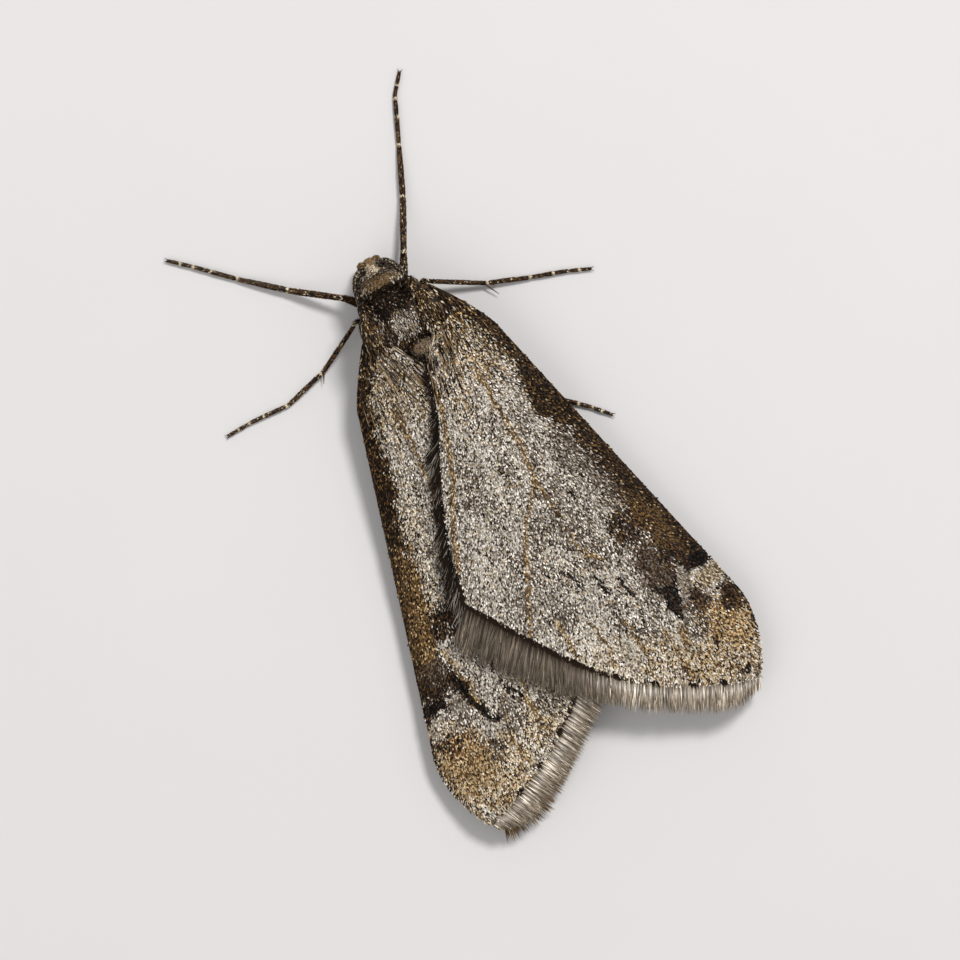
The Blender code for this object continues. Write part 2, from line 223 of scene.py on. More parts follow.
def add_node(tree: bpy.types.NodeTree, kind: str, **inputs: object) -> bpy.types.Node:
    """Add one shader node and set some of its inputs.

    Args:
        tree: the tree that receives it.
        kind: the node's type, without ShaderNode.
        inputs: values of inputs by name.

    Returns:
        The node.
    """
    node = tree.nodes.new(f"ShaderNode{kind}")
    set_inputs(node, inputs)
    return node


def wire(tree: bpy.types.NodeTree, *links: tuple[bpy.types.Node, str, bpy.types.Node, str]) -> None:
    """Link named outputs to named inputs, as (node, output, node, input)."""
    for giver, given, taker, taken in links:
        tree.links.new(giver.outputs[given], taker.inputs[taken])


class GrainGroup:
    """A shared node group: fine variation of colour, roughness and relief over a surface."""

    NAME = "fine_grain"
    INPUTS = {"Size": 9000.0, "Colour": 0.2, "Rough": 0.45, "Spread": 0.2}

    @classmethod
    def add(cls, tree: bpy.types.NodeTree, **inputs: object) -> bpy.types.Node:
        """Add the group, built once, to a material and set its inputs.

        Args:
            tree: the tree that receives it.
            inputs: values of inputs by name.

        Returns:
            The group's node.
        """
        grain = add_node(tree, "Group")
        grain.node_tree = bpy.data.node_groups.get(cls.NAME) or cls._build()
        set_inputs(grain, inputs)
        return grain

    @classmethod
    def _build(cls) -> bpy.types.NodeTree:
        """Build the group's nodes.

        Returns:
            The group's tree.
        """
        tree = bpy.data.node_groups.new(cls.NAME, "ShaderNodeTree")
        socket = tree.interface.new_socket
        socket("Tint", in_out="INPUT", socket_type="NodeSocketColor")
        for name, value in cls.INPUTS.items():
            socket(name, in_out="INPUT", socket_type="NodeSocketFloat").default_value = value
        for name, kind in (("Color", "Color"), ("Roughness", "Float"), ("Height", "Float")):
            socket(name, in_out="OUTPUT", socket_type=f"NodeSocket{kind}")
        taken, given = tree.nodes.new("NodeGroupInput"), tree.nodes.new("NodeGroupOutput")
        noise = add_node(tree, "TexNoise", Detail=3.0)
        centred = cls._math(tree, "SUBTRACT", noise.outputs["Fac"], 0.5)
        shade = cls._math(tree, "MULTIPLY", centred, taken.outputs["Colour"])
        shade = cls._math(tree, "ADD", shade, 1.0)
        rough = cls._math(tree, "MULTIPLY", centred, taken.outputs["Spread"])
        rough = cls._math(tree, "ADD", rough, taken.outputs["Rough"])
        scaled = add_node(tree, "VectorMath")
        scaled.operation = "SCALE"
        tree.links.new(shade, scaled.inputs["Scale"])
        tree.links.new(rough, given.inputs["Roughness"])
        wire(
            tree,
            (add_node(tree, "TexCoord"), "Object", noise, "Vector"),
            (taken, "Size", noise, "Scale"),
            (taken, "Tint", scaled, "Vector"),
            (scaled, "Vector", given, "Color"),
            (noise, "Fac", given, "Height"),
        )
        return tree

    @staticmethod
    def _math(tree: bpy.types.NodeTree, operation: str, first: object, second: object) -> object:
        """Add one Math node with sockets or numbers as its inputs.

        Args:
            tree: the tree that receives it.
            operation: which operation.
            first: the first socket or number.
            second: the second socket or number.

        Returns:
            The node's output.
        """
        node = tree.nodes.new("ShaderNodeMath")
        node.operation = operation
        for socket, value in zip(node.inputs, (first, second)):
            if isinstance(value, (int, float)):
                socket.default_value = value
            else:
                tree.links.new(value, socket)
        return node.outputs[0]


@dataclass(frozen=True)
class Surface:
    """A surface of the model or of the stage."""

    name: str

    def material(self) -> bpy.types.Material:
        """The surface's material, built once.

        Returns:
            The material.
        """
        made = bpy.data.materials.get(self.name)
        if made is None:
            made = bpy.data.materials.new(self.name)
            made.use_nodes = True
            self.dress(made.node_tree, made.node_tree.nodes["Principled BSDF"])
        return made

    def dress(self, tree: bpy.types.NodeTree, shader: bpy.types.Node) -> None:
        """Add the surface's nodes round the material's Principled node."""
        raise NotImplementedError


@dataclass(frozen=True)
class Finish(Surface):
    """A surface whose colour comes from the piece's own tint, varied by the shared grain."""

    size: float = 9000.0
    colour: float = 0.25
    rough: float = 0.45
    spread: float = 0.2
    bump: float = 0.15
    specular: float = 0.5

    def dress(self, tree: bpy.types.NodeTree, shader: bpy.types.Node) -> None:
        """Lay the grain over the tint.

        Args:
            tree: the material's node tree.
            shader: its Principled node.
        """
        tint = add_node(tree, "Attribute")
        tint.attribute_name = TINT
        grain = GrainGroup.add(
            tree, Size=self.size, Colour=self.colour, Rough=self.rough, Spread=self.spread
        )
        bump = add_node(tree, "Bump", Strength=self.bump, Distance=0.02 * MM)
        set_inputs(shader, {"Specular IOR Level": self.specular})
        wire(
            tree,
            (tint, "Color", grain, "Tint"),
            (grain, "Color", shader, "Base Color"),
            (grain, "Roughness", shader, "Roughness"),
            (grain, "Height", bump, "Height"),
            (bump, "Normal", shader, "Normal"),
        )


@dataclass(frozen=True)
class EyeFinish(Surface):
    """Dark glossy lenses in a fine honeycomb."""

    cell: float = 26000.0
    edge: tuple[float, ...] = (0.022, 0.013, 0.007, 1.0)
    lens: tuple[float, ...] = (0.003, 0.002, 0.001, 1.0)

    def dress(self, tree: bpy.types.NodeTree, shader: bpy.types.Node) -> None:
        """Colour and raise each cell.

        Args:
            tree: the material's node tree.
            shader: its Principled node.
        """
        cells = add_node(tree, "TexVoronoi", Scale=self.cell)
        ramp = add_node(tree, "ValToRGB")
        for stop, colour in zip(ramp.color_ramp.elements, (self.edge, self.lens)):
            stop.color = colour
        bump = add_node(tree, "Bump", Strength=0.6, Distance=0.01 * MM)
        bump.invert = True
        set_inputs(shader, {"Roughness": 0.30, "Specular IOR Level": 0.35})
        wire(
            tree,
            (add_node(tree, "TexCoord"), "Object", cells, "Vector"),
            (cells, "Distance", ramp, "Fac"),
            (cells, "Distance", bump, "Height"),
            (ramp, "Color", shader, "Base Color"),
            (bump, "Normal", shader, "Normal"),
        )


@dataclass(frozen=True)
class FloorFinish(Surface):
    """A plain pale matt floor with the faintest unevenness."""

    colour: tuple[int, int, int] = (224, 221, 219)

    def dress(self, tree: bpy.types.NodeTree, shader: bpy.types.Node) -> None:
        """Lay the grain over one colour.

        Args:
            tree: the material's node tree.
            shader: its Principled node.
        """
        tint = (*to_linear(self.colour), 1.0)
        grain = GrainGroup.add(tree, Tint=tint, Size=150.0, Colour=0.03, Rough=0.9, Spread=0.04)
        wire(
            tree,
            (grain, "Color", shader, "Base Color"),
            (grain, "Roughness", shader, "Roughness"),
        )


WING_SKIN = Finish("wing_membrane", rough=0.6, specular=0.2, bump=0.3)
WING_SCALE = Finish("wing_scale", size=14000.0, rough=0.34, specular=0.09, bump=0.0)
FRINGE_HAIR = Finish("fringe_hair", size=7000.0, colour=0.35, specular=0.13, bump=0.0)
BODY_SKIN = Finish("body_skin", rough=0.6, specular=0.2, bump=0.4)
BODY_HAIR = Finish("body_hair", size=8000.0, rough=0.36, colour=0.4, specular=0.12, bump=0.0)
LEG_SCALE = Finish("leg_scale", size=8000.0, rough=0.36, colour=0.4, specular=0.13, bump=0.0)
HORN = Finish("claw_horn", rough=0.3, colour=0.3, bump=0.1)
EYE_LENS = EyeFinish("eye_lens")
PALE_FLOOR = FloorFinish("floor_pale")


# ---- mesh helpers


def add_object(name: str, data: bpy.types.ID) -> bpy.types.Object:
    """Add an object to the scene.

    Args:
        name: the object's name.
        data: its mesh, camera or lamp.

    Returns:
        The object.
    """
    made = bpy.data.objects.new(name, data)
    bpy.context.scene.collection.objects.link(made)
    return made


def finish_piece(
    mesh: bpy.types.Mesh, finish: Surface, slot: str, nodes: tuple[str, ...] = ()
) -> None:
    """Make a piece of a mesh, dress it and let it ride on the body.

    Args:
        mesh: the mesh, already in the frame's metres, named as the piece.
        finish: what its surface is like.
        slot: not used.
        nodes: solids that the piece stands for.
    """
    mesh.materials.append(finish.material())
    piece = add_object(mesh.name, mesh)
    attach(piece, "root")
    if nodes:
        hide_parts(*nodes)
    LOG.info("%s: %d faces", piece.name, len(mesh.polygons))


def vertex_places(bm: bmesh.types.BMesh) -> Array:
    """The vertices of a bmesh as an array of millimetres."""
    return np.array([tuple(vert.co) for vert in bm.verts])


def set_places(bm: bmesh.types.BMesh, places: Array) -> None:
    """Move a bmesh's vertices to new places."""
    for vert, place in zip(bm.verts, places):
        vert.co = place


def set_tints(mesh: bpy.types.Mesh, tints: Array) -> None:
    """Give a mesh one linear colour for each vertex.

    Args:
        mesh: the mesh.
        tints: linear colours, one for each vertex or one for all.
    """
    values = np.ones((len(mesh.vertices), 4), np.float32)
    values[:, :3] = tints
    layer = mesh.color_attributes.new(TINT, "FLOAT_COLOR", "POINT")
    layer.data.foreach_set("color", values.ravel())


def tinted_mesh(bm: bmesh.types.BMesh, name: str, plan: Plan, tints: Array) -> bpy.types.Mesh:
    """Turn a bmesh in millimetres into a smooth tinted mesh in the frame's metres.

    Args:
        bm: the shape, which is freed.
        name: the mesh's name.
        plan: where the animal lies.
        tints: one linear colour for each vertex, or one for all.

    Returns:
        The mesh.
    """
    set_places(bm, plan.metres(vertex_places(bm)))
    mesh = bpy.data.meshes.new(name)
    bm.to_mesh(mesh)
    bm.free()
    set_tints(mesh, tints)
    mesh.polygons.foreach_set("use_smooth", np.ones(len(mesh.polygons), bool))
    mesh.update()
    return mesh


def thin_sheet(
    size: tuple[int, int], thickness: float, lay: Callable[[Array, Array], Array]
) -> bmesh.types.BMesh:
    """A closed thin sheet.

    Args:
        size: number of squares across and along.
        thickness: how far its lower face lies under its upper one.
        lay: gives the upper face's places from shares across and along, each from 0 to 1.

    Returns:
        The sheet.
    """
    bm = bmesh.new()
    bmesh.ops.create_grid(bm, x_segments=size[0], y_segments=size[1], size=0.5)
    across, along, _ = vertex_places(bm).T + 0.5
    set_places(bm, lay(across, along))
    grown = bmesh.ops.extrude_face_region(bm, geom=list(bm.faces))
    lower = [item for item in grown["geom"] if isinstance(item, bmesh.types.BMVert)]
    bmesh.ops.translate(bm, verts=lower, vec=(0.0, 0.0, -thickness))
    bmesh.ops.recalc_face_normals(bm, faces=bm.faces)
    return bm


@dataclass(frozen=True)
class Blade:
    """One repeated scale or hair as a closed shape: root at 0, tip at 1 along y, width along x.

    Its thickness is a share of its width.
    """

    points: tuple[tuple[float, float, float], ...]
    faces: tuple[tuple[int, int, int], ...]
    thick: float

    @classmethod
    def scale(cls, thick: float) -> "Blade":
        """A short kite-shaped scale with a raised ridge."""
        points = ((0.0, 0.0, 0.0), (0.5, 0.6, 0.0), (0.0, 1.0, 1.0), (-0.5, 0.6, 0.0))
        return cls(points, ((0, 1, 2), (0, 2, 3), (0, 3, 1), (1, 3, 2)), thick)

    @classmethod
    def hair(cls, rings: int) -> "Blade":
        """A three-sided hair that tapers to a point.

        Args:
            rings: number of rings below the tip.

        Returns:
            The shape.
        """
        points, faces = [], [(0, 2, 1)]
        for ring in range(rings):
            share = ring / rings
            wide = 0.5 * (0.55 + 0.9 * share) if share < 0.5 else 0.5 * (1.45 - 0.9 * share)
            points += [(-wide, share, 0.0), (wide, share, 0.0), (0.0, share, 1.0)]
        points.append((0.0, 1.0, 0.3))
        for ring in range(rings - 1):
            a = ring * 3
            for i in range(3):
                j = (i + 1) % 3
                faces += [(a + i, a + j, a + 3 + j), (a + i, a + 3 + j, a + 3 + i)]
        a = (rings - 1) * 3
        faces += [(a + i, a + (i + 1) % 3, a + 3) for i in range(3)]
        return cls(tuple(points), tuple(faces), 0.35)


@dataclass
class Coat:
    """Many blades on a surface, gathered before they are joined into one piece."""

    blade: Blade
    parts: list[tuple[Array, ...]] = field(default_factory=list)

    def add(
        self,
        roots: Array,
        along: Array,
        normals: Array,
        sizes: tuple[Array, Array],
        lift: Array,
        droop: Array,
        keys: Array,
        spots: Array,
    ) -> None:
        """Plant a batch of blades. All but roots and spots may be one value for the whole batch.

        Args:
            roots: places of the roots, in millimetres.
            along: directions in which the blades lie.
            normals: the surface's normals.
            sizes: blade lengths and widths.
            lift: angle above the surface, in radians.
            droop: how far the tip bends back to the surface, as a share of the length.
            keys: colours at root, middle and tip, as (count, 3, 3).
            spots: places of the roots on the unwrapped surface, from 0 to 1.
        """
        count = len(roots)
        values = [np.broadcast_to(value, (count,)) for value in (*sizes, lift, droop)]
        rays = [np.broadcast_to(ray, (count, 3)) for ray in (along, normals)]
        self.parts.append((roots, *rays, *values, np.broadcast_to(keys, (count, 3, 3)), spots))

    def piece(self, name: str, plan: Plan, finish: Surface, slot: str) -> None:
        """Join all the blades into one closed piece.

        Args:
            name: the piece's name.
            plan: where the animal lies.
            finish: what its surface is like.
            slot: handed on to finish_piece, which does not use it.
        """
        fields = [np.concatenate(column) for column in zip(*self.parts)]
        roots, along, normals, length, width, lift, droop, keys, spots = fields
        normals = unit(normals)
        along = unit(along - normals * np.sum(along * normals, axis=1, keepdims=True))
        side = np.cross(along, normals)
        raised = along * np.cos(lift)[:, None] + normals * np.sin(lift)[:, None]
        upper = normals * np.cos(lift)[:, None] - along * np.sin(lift)[:, None]
        form = np.array(self.blade.points)
        aside, share, ridge = form.T[:, None, :, None]
        across = side[:, None] * (aside * width[:, None, None])
        ahead = raised[:, None] * (share * length[:, None, None])
        above = upper[:, None] * (ridge * (self.blade.thick * width)[:, None, None])
        fall = (droop * length)[:, None, None] * share**2
        points = roots[:, None] + across + ahead + above - normals[:, None] * fall
        points = plan.metres(points.reshape(-1, 3))
        starts = np.arange(len(roots)) * len(form)
        faces = (np.array(self.blade.faces)[None] + starts[:, None, None]).reshape(-1, 3)
        mesh = bpy.data.meshes.new(name)
        mesh.vertices.add(len(points))
        mesh.vertices.foreach_set("co", points.astype(np.float32).ravel())
        mesh.loops.add(faces.size)
        mesh.loops.foreach_set("vertex_index", faces.ravel().astype(np.int32))
        mesh.polygons.add(len(faces))
        mesh.polygons.foreach_set("loop_start", np.arange(0, faces.size, 3, dtype=np.int32))
        mesh.update(calc_edges=True)
        early, late = np.clip(share * 2.0, 0.0, 1.0), np.clip(share * 2.0 - 1.0, 0.0, 1.0)
        tints = keys[:, None, 0] * (1.0 - early) + keys[:, None, 1] * early
        tints = tints * (1.0 - late) + keys[:, None, 2] * late
        set_tints(mesh, tints.reshape(-1, 3))
        patch = (form[:, :2] - [0.0, 0.5]) * PATCH
        flat = (np.clip(spots, 0.002, 0.998)[:, None] + patch[None]).reshape(-1, 2)
        flat = flat[faces.ravel()].astype(np.float32).ravel()
        mesh.uv_layers.new(name=BAKE_MAP).data.foreach_set("uv", flat)
        mesh.polygons.foreach_set("use_smooth", np.zeros(len(faces), bool))
        mesh.update()
        finish_piece(mesh, finish, slot)


def same_keys(colours: Array, root: float, tip: float) -> Array:
    """Colour keys of one colour each, darker or paler at root and tip."""
    return colours[..., None, :] * np.array([root, 1.0, tip])[:, None]


def draw_tones(shares: Array, dice: np.random.Generator) -> Array:
    """One scale colour drawn for each row of shares."""
    drawn = (np.cumsum(shares, axis=1) < dice.random(len(shares))[:, None]).sum(axis=1)
    return PALETTE[np.clip(drawn, 0, len(PALETTE) - 1)]


# ---- limbs


@dataclass
class Limb:
    """A round limb along a smooth path, with a radius at each place."""

    path: Array
    radii: Array
    sides: int

    @classmethod
    def through(
        cls, joints: Array, radius_at: RadiusAt, bend: float, step: float, sides: int
    ) -> "Limb":
        """A limb through joints whose bends are rounded.

        Args:
            joints: places of the joints.
            radius_at: gives the radius at a distance along the limb.
            bend: how far from each joint the bend begins.
            step: distance between rings.
            sides: number of sides.

        Returns:
            The limb.
        """
        joints = np.asarray(joints, float)
        spots = [joints[0]]
        for before, here, after in zip(joints[:-2], joints[1:-1], joints[2:]):
            reach_in = min(bend, np.linalg.norm(here - before) * 0.45)
            reach_out = min(bend, np.linalg.norm(after - here) * 0.45)
            start = here - unit(here - before) * reach_in
            end = here + unit(after - here) * reach_out
            for b in np.linspace(0.0, 1.0, 6):
                spots.append(start * (1 - b) ** 2 + here * 2 * b * (1 - b) + end * b**2)
        spots.append(joints[-1])
        spots = np.array(spots)
        gone = np.concatenate([[0.0], np.cumsum(np.linalg.norm(np.diff(spots, axis=0), axis=1))])
        count = max(int(gone[-1] / step), 3)
        marks = np.linspace(0.0, gone[-1], count)
        path = np.stack([np.interp(marks, gone, spots[:, k]) for k in range(3)], axis=1)
        return cls(path, np.array([radius_at(mark) for mark in marks]), sides)

    @property
    def distances(self) -> Array:
        """Distance of each ring from the start."""
        steps = np.linalg.norm(np.diff(self.path, axis=0), axis=1)
        return np.concatenate([[0.0], np.cumsum(steps)])

    def frames(self) -> tuple[Array, Array, Array]:
        """Heading, level and upright directions at each ring.

        Returns:
            One row of each for every ring.
        """
        heading = unit(np.gradient(self.path, axis=0))
        level = np.cross(heading, UP)
        level = unit(level + np.array([1e-6, 0.0, 0.0]))
        return heading, level, np.cross(level, heading)

    def build(self, bm: bmesh.types.BMesh) -> list[int]:
        """Add the limb to a bmesh, closed at both ends.

        Args:
            bm: the bmesh that receives it.

        Returns:
            For each new vertex, the ring that it belongs to.
        """
        _, level, upright = self.frames()
        turns = FULL_TURN * np.arange(self.sides) / self.sides
        rim: list[bmesh.types.BMEdge] = []
        order: list[int] = []
        for ring, (middle, radius) in enumerate(zip(self.path, self.radii)):
            if not rim:
                made = bmesh.ops.create_circle(bm, cap_ends=True, segments=self.sides, radius=1.0)
                verts = made["verts"]
                rim = list({edge for vert in verts for edge in vert.link_edges})
            else:
                made = bmesh.ops.extrude_edge_only(bm, edges=rim)["geom"]
                verts = [item for item in made if isinstance(item, bmesh.types.BMVert)]
                edges = [item for item in made if isinstance(item, bmesh.types.BMEdge)]
                rim = [edge for edge in edges if edge.is_boundary]
            spokes = np.sin(turns)[:, None] * level[ring] + np.cos(turns)[:, None] * upright[ring]
            for vert, spoke in zip(verts, spokes):
                vert.co = middle + spoke * radius
                order.append(ring)
        bmesh.ops.contextual_create(bm, geom=rim)
        return order

    def surface(self, distance: Array, turn: Array) -> tuple[Array, Array, Array]:
        """Places on the limb's surface.

        Args:
            distance: distances along the limb.
            turn: angles round it.

        Returns:
            The places, the outward normals and the headings.
        """
        heading, level, upright = self.frames()
        marks = self.distances

        def read(values: Array) -> Array:
            """Interpolate ring values at the distances."""
            return np.stack([np.interp(distance, marks, values[:, k]) for k in range(3)], axis=1)

        normal = unit(read(level) * np.sin(turn)[:, None] + read(upright) * np.cos(turn)[:, None])
        radius = np.interp(distance, marks, self.radii)
        return read(self.path) + normal * radius[:, None], normal, unit(read(heading))

    def sow(self, first: float, count: int, dice: np.random.Generator) -> tuple[Array, ...]:
        """Random places on the limb beyond a distance.

        Args:
            first: distance along the limb at which they begin.
            count: number of places.
            dice: source of chance.

        Returns:
            Distances along, angles round, places, outward normals and headings.
        """
        along = dice.uniform(first, self.distances[-1], count)
        turn = dice.uniform(0.0, FULL_TURN, count)
        return along, turn, *self.surface(along, turn)


# ---- wings


class Mix(Enum):
    """Shares in which scale colours are sown over one area of a wing."""

    DISC = dict(WHITE=0.31, SILVER=0.28, GREY=0.20, DARK=0.13, GOLD=0.03, CREAM=0.05)
    BRIGHT = dict(WHITE=0.42, SILVER=0.28, CREAM=0.12, GREY=0.08, DARK=0.10)
    BASE = dict(WHITE=0.12, CREAM=0.17, GOLD=0.16, GREY=0.12, OCHRE=0.17, DARK=0.26)
    SHOULDER = dict(
        BLACK=0.34, DARK=0.26, SIENNA=0.06, BROWN=0.16, OCHRE=0.06, GOLD=0.07, CREAM=0.05
    )
    COSTA = dict(DARK=0.33, BROWN=0.13, OCHRE=0.11, GOLD=0.02, BLACK=0.39, SIENNA=0.02)
    COSTA_GOLD = dict(OCHRE=0.29, BROWN=0.25, DARK=0.21, SIENNA=0.07, GOLD=0.02, BLACK=0.16)
    SHADE = dict(GREY=0.38, DARK=0.30, SILVER=0.16, BROWN=0.10, WHITE=0.06)
    SMOKE = dict(GREY=0.24, BROWN=0.38, DARK=0.36, SILVER=0.02)
    INK = dict(BLACK=0.76, DARK=0.17, BROWN=0.07)
    UMBER = dict(DARK=0.40, BLACK=0.32, SIENNA=0.09, BROWN=0.13, OCHRE=0.06)
    PALE = dict(CREAM=0.30, SILVER=0.10, TAN=0.24, OCHRE=0.10, BROWN=0.16, DARK=0.10)
    PEARL = dict(GREY=0.60, SILVER=0.22, TAN=0.08, DARK=0.10)
    APEX = dict(GOLD=0.23, CREAM=0.20, TAN=0.08, SIENNA=0.18, DARK=0.14, BLACK=0.06, WHITE=0.11)
    RUST = dict(SIENNA=0.25, OCHRE=0.11, BROWN=0.03, GOLD=0.38, DARK=0.09, BLACK=0.06, CREAM=0.08)
    OUTER = dict(CREAM=0.34, WHITE=0.27, SILVER=0.08, TAN=0.12, SIENNA=0.06, DARK=0.13)
    FLECKED = dict(OCHRE=0.33, SIENNA=0.11, BROWN=0.06, DARK=0.19, BLACK=0.15, GOLD=0.16)
    VEIN = dict(GOLD=0.20, OCHRE=0.44, BROWN=0.26, CREAM=0.10)
    MANTLE = dict(DARK=0.34, BROWN=0.18, BLACK=0.32, OCHRE=0.06, TAN=0.06, WHITE=0.04)
    PITCH = dict(BLACK=0.73, DARK=0.17, BROWN=0.06, TAN=0.03, SILVER=0.01)
    POWDER = dict(SILVER=0.15, WHITE=0.07, GREY=0.18, DARK=0.26, TAN=0.17, BLACK=0.17)
    KNOB = dict(GREY=0.34, TAN=0.20, OCHRE=0.24, DARK=0.22)
    COLLAR = dict(OCHRE=0.44, TAN=0.22, GREY=0.06, BROWN=0.22, CREAM=0.02, DARK=0.04)
    CROWN = dict(CREAM=0.25, WHITE=0.04, SILVER=0.12, TAN=0.28, OCHRE=0.14, BROWN=0.17)
    BROW = dict(OCHRE=0.44, BROWN=0.14, TAN=0.24, GOLD=0.18)
    BELLY = dict(GREY=0.40, BROWN=0.26, SILVER=0.22, CREAM=0.12)
    HIND = dict(SILVER=0.44, GREY=0.30, CREAM=0.16, BROWN=0.10)
    # Brown at the hindwing's tip: partly its own colour, partly painted shade of the forewing lying
    # over it.
    HIND_TIP = dict(BROWN=0.44, OCHRE=0.30, DARK=0.26)

    @property
    def shares(self) -> Array:
        """The shares in the order of the tones, adding up to one."""
        found = np.array([self.value.get(tone.name, 0.0) for tone in Tone])
        return found / found.sum()


def blend(old: Array, new: Array, share: Array) -> Array:
    """Old rows turned into new ones by a share for each row."""
    return old * (1.0 - share[:, None]) + new * share[:, None]


@dataclass(frozen=True)
class Blotch:
    """A soft patch: its middle as (out, back), half sizes across and along, and a turn."""

    out: float
    back: float
    across: float
    along: float
    mix: Mix
    strength: float = 1.0
    turn: float = 0.0

    def mask(self, out: Array, back: Array) -> Array:
        """How strongly the patch covers each place.

        Args:
            out: distances from the midline.
            back: stations.

        Returns:
            One share for each place.
        """
        angle = math.radians(self.turn)
        x, y = out - self.out, back - self.back
        u = (x * math.cos(angle) - y * math.sin(angle)) / self.across
        v = (x * math.sin(angle) + y * math.cos(angle)) / self.along
        return self.strength * ease((1.35 - np.hypot(u, v)) / 0.7)


@dataclass(frozen=True)
class Streak:
    """A line of scales through a few places."""

    places: tuple[tuple[float, float], ...]
    width: float
    mix: Mix
    strength: float

    def distance(self, out: Array, back: Array) -> Array:
        """Distance of each place from the line.

        Args:
            out: distances from the midline.
            back: stations.

        Returns:
            The distances.
        """
        best = np.full(np.shape(out), 1e9)
        for (x0, y0), (x1, y1) in zip(self.places[:-1], self.places[1:]):
            dx, dy = x1 - x0, y1 - y0
            share = ((out - x0) * dx + (back - y0) * dy) / (dx * dx + dy * dy)
            share = np.clip(share, 0.0, 1.0)
            best = np.minimum(best, np.hypot(out - x0 - share * dx, back - y0 - share * dy))
        return best

    def mask(self, out: Array, back: Array) -> Array:
        """How strongly the line covers each place."""
        return self.strength * ease(1.5 - self.distance(out, back) / self.width)


VEINS = (
    Streak(((0.10, 3.9), (-0.2, 5.2), (-0.8, 7.0), (-1.6, 8.5), (-2.1, 9.8)), 0.08, Mix.VEIN, 0.85),
    Streak(((1.45, 4.2), (1.60, 7.0), (1.50, 8.3), (0.60, 9.4)), 0.07, Mix.VEIN, 0.85),
    Streak(((0.60, 9.4), (0.15, 10.2), (-0.6, 11.8), (-0.95, 12.7)), 0.07, Mix.VEIN, 0.75),
    Streak(((1.50, 8.3), (1.65, 10.3), (1.70, 11.0), (2.2, 11.6)), 0.08, Mix.VEIN, 0.8),
    Streak(((-0.1, 12.6), (0.05, 13.4), (0.0, 13.9)), 0.07, Mix.VEIN, 0.7),
    Streak(((0.9, 13.2), (1.05, 14.2), (1.0, 14.9)), 0.07, Mix.VEIN, 0.7),
    Streak(((1.9, 13.8), (2.1, 14.9), (2.0, 15.8)), 0.08, Mix.VEIN, 0.75),
    Streak(((2.9, 14.6), (3.05, 15.5), (2.98, 16.3)), 0.08, Mix.VEIN, 0.75),
)
SHADES = (
    Blotch(1.75, 3.3, 0.85, 1.6, Mix.BASE, 0.85, 8.0),
    Blotch(0.60, 4.4, 0.45, 1.4, Mix.BASE, 0.5, -10.0),
    Blotch(2.75, 4.6, 0.35, 1.2, Mix.BASE, 0.7, 12.0),
    Blotch(3.10, 6.2, 0.55, 1.2, Mix.COSTA, 1.0, 15.0),
    Blotch(2.85, 8.2, 0.50, 0.9, Mix.SHADE, 0.85, 15.0),
    Blotch(3.55, 9.4, 0.45, 1.7, Mix.SHADE, 0.9, 15.0),
    Blotch(2.80, 9.9, 0.55, 0.6, Mix.SHADE, 0.4),
    Blotch(3.40, 11.0, 0.60, 0.60, Mix.UMBER, 0.9, 20.0),
    Blotch(-1.0, 10.2, 0.50, 1.0, Mix.BRIGHT, 0.6),
    Blotch(0.75, 13.8, 0.65, 0.8, Mix.BRIGHT, 0.7),
    Blotch(2.10, 11.3, 0.45, 0.5, Mix.SHADE, 0.6, 30.0),
    Blotch(0.10, 12.3, 0.50, 0.7, Mix.SHADE, 0.45),
    Blotch(-0.9, 11.2, 0.40, 0.6, Mix.SHADE, 0.35),
    Blotch(0.95, 9.9, 0.35, 0.6, Mix.SHADE, 0.45),
    Blotch(1.60, 15.1, 1.9, 0.8, Mix.OUTER, 0.7, -35.0),
    Blotch(4.30, 16.3, 1.45, 1.0, Mix.APEX, 0.95),
)
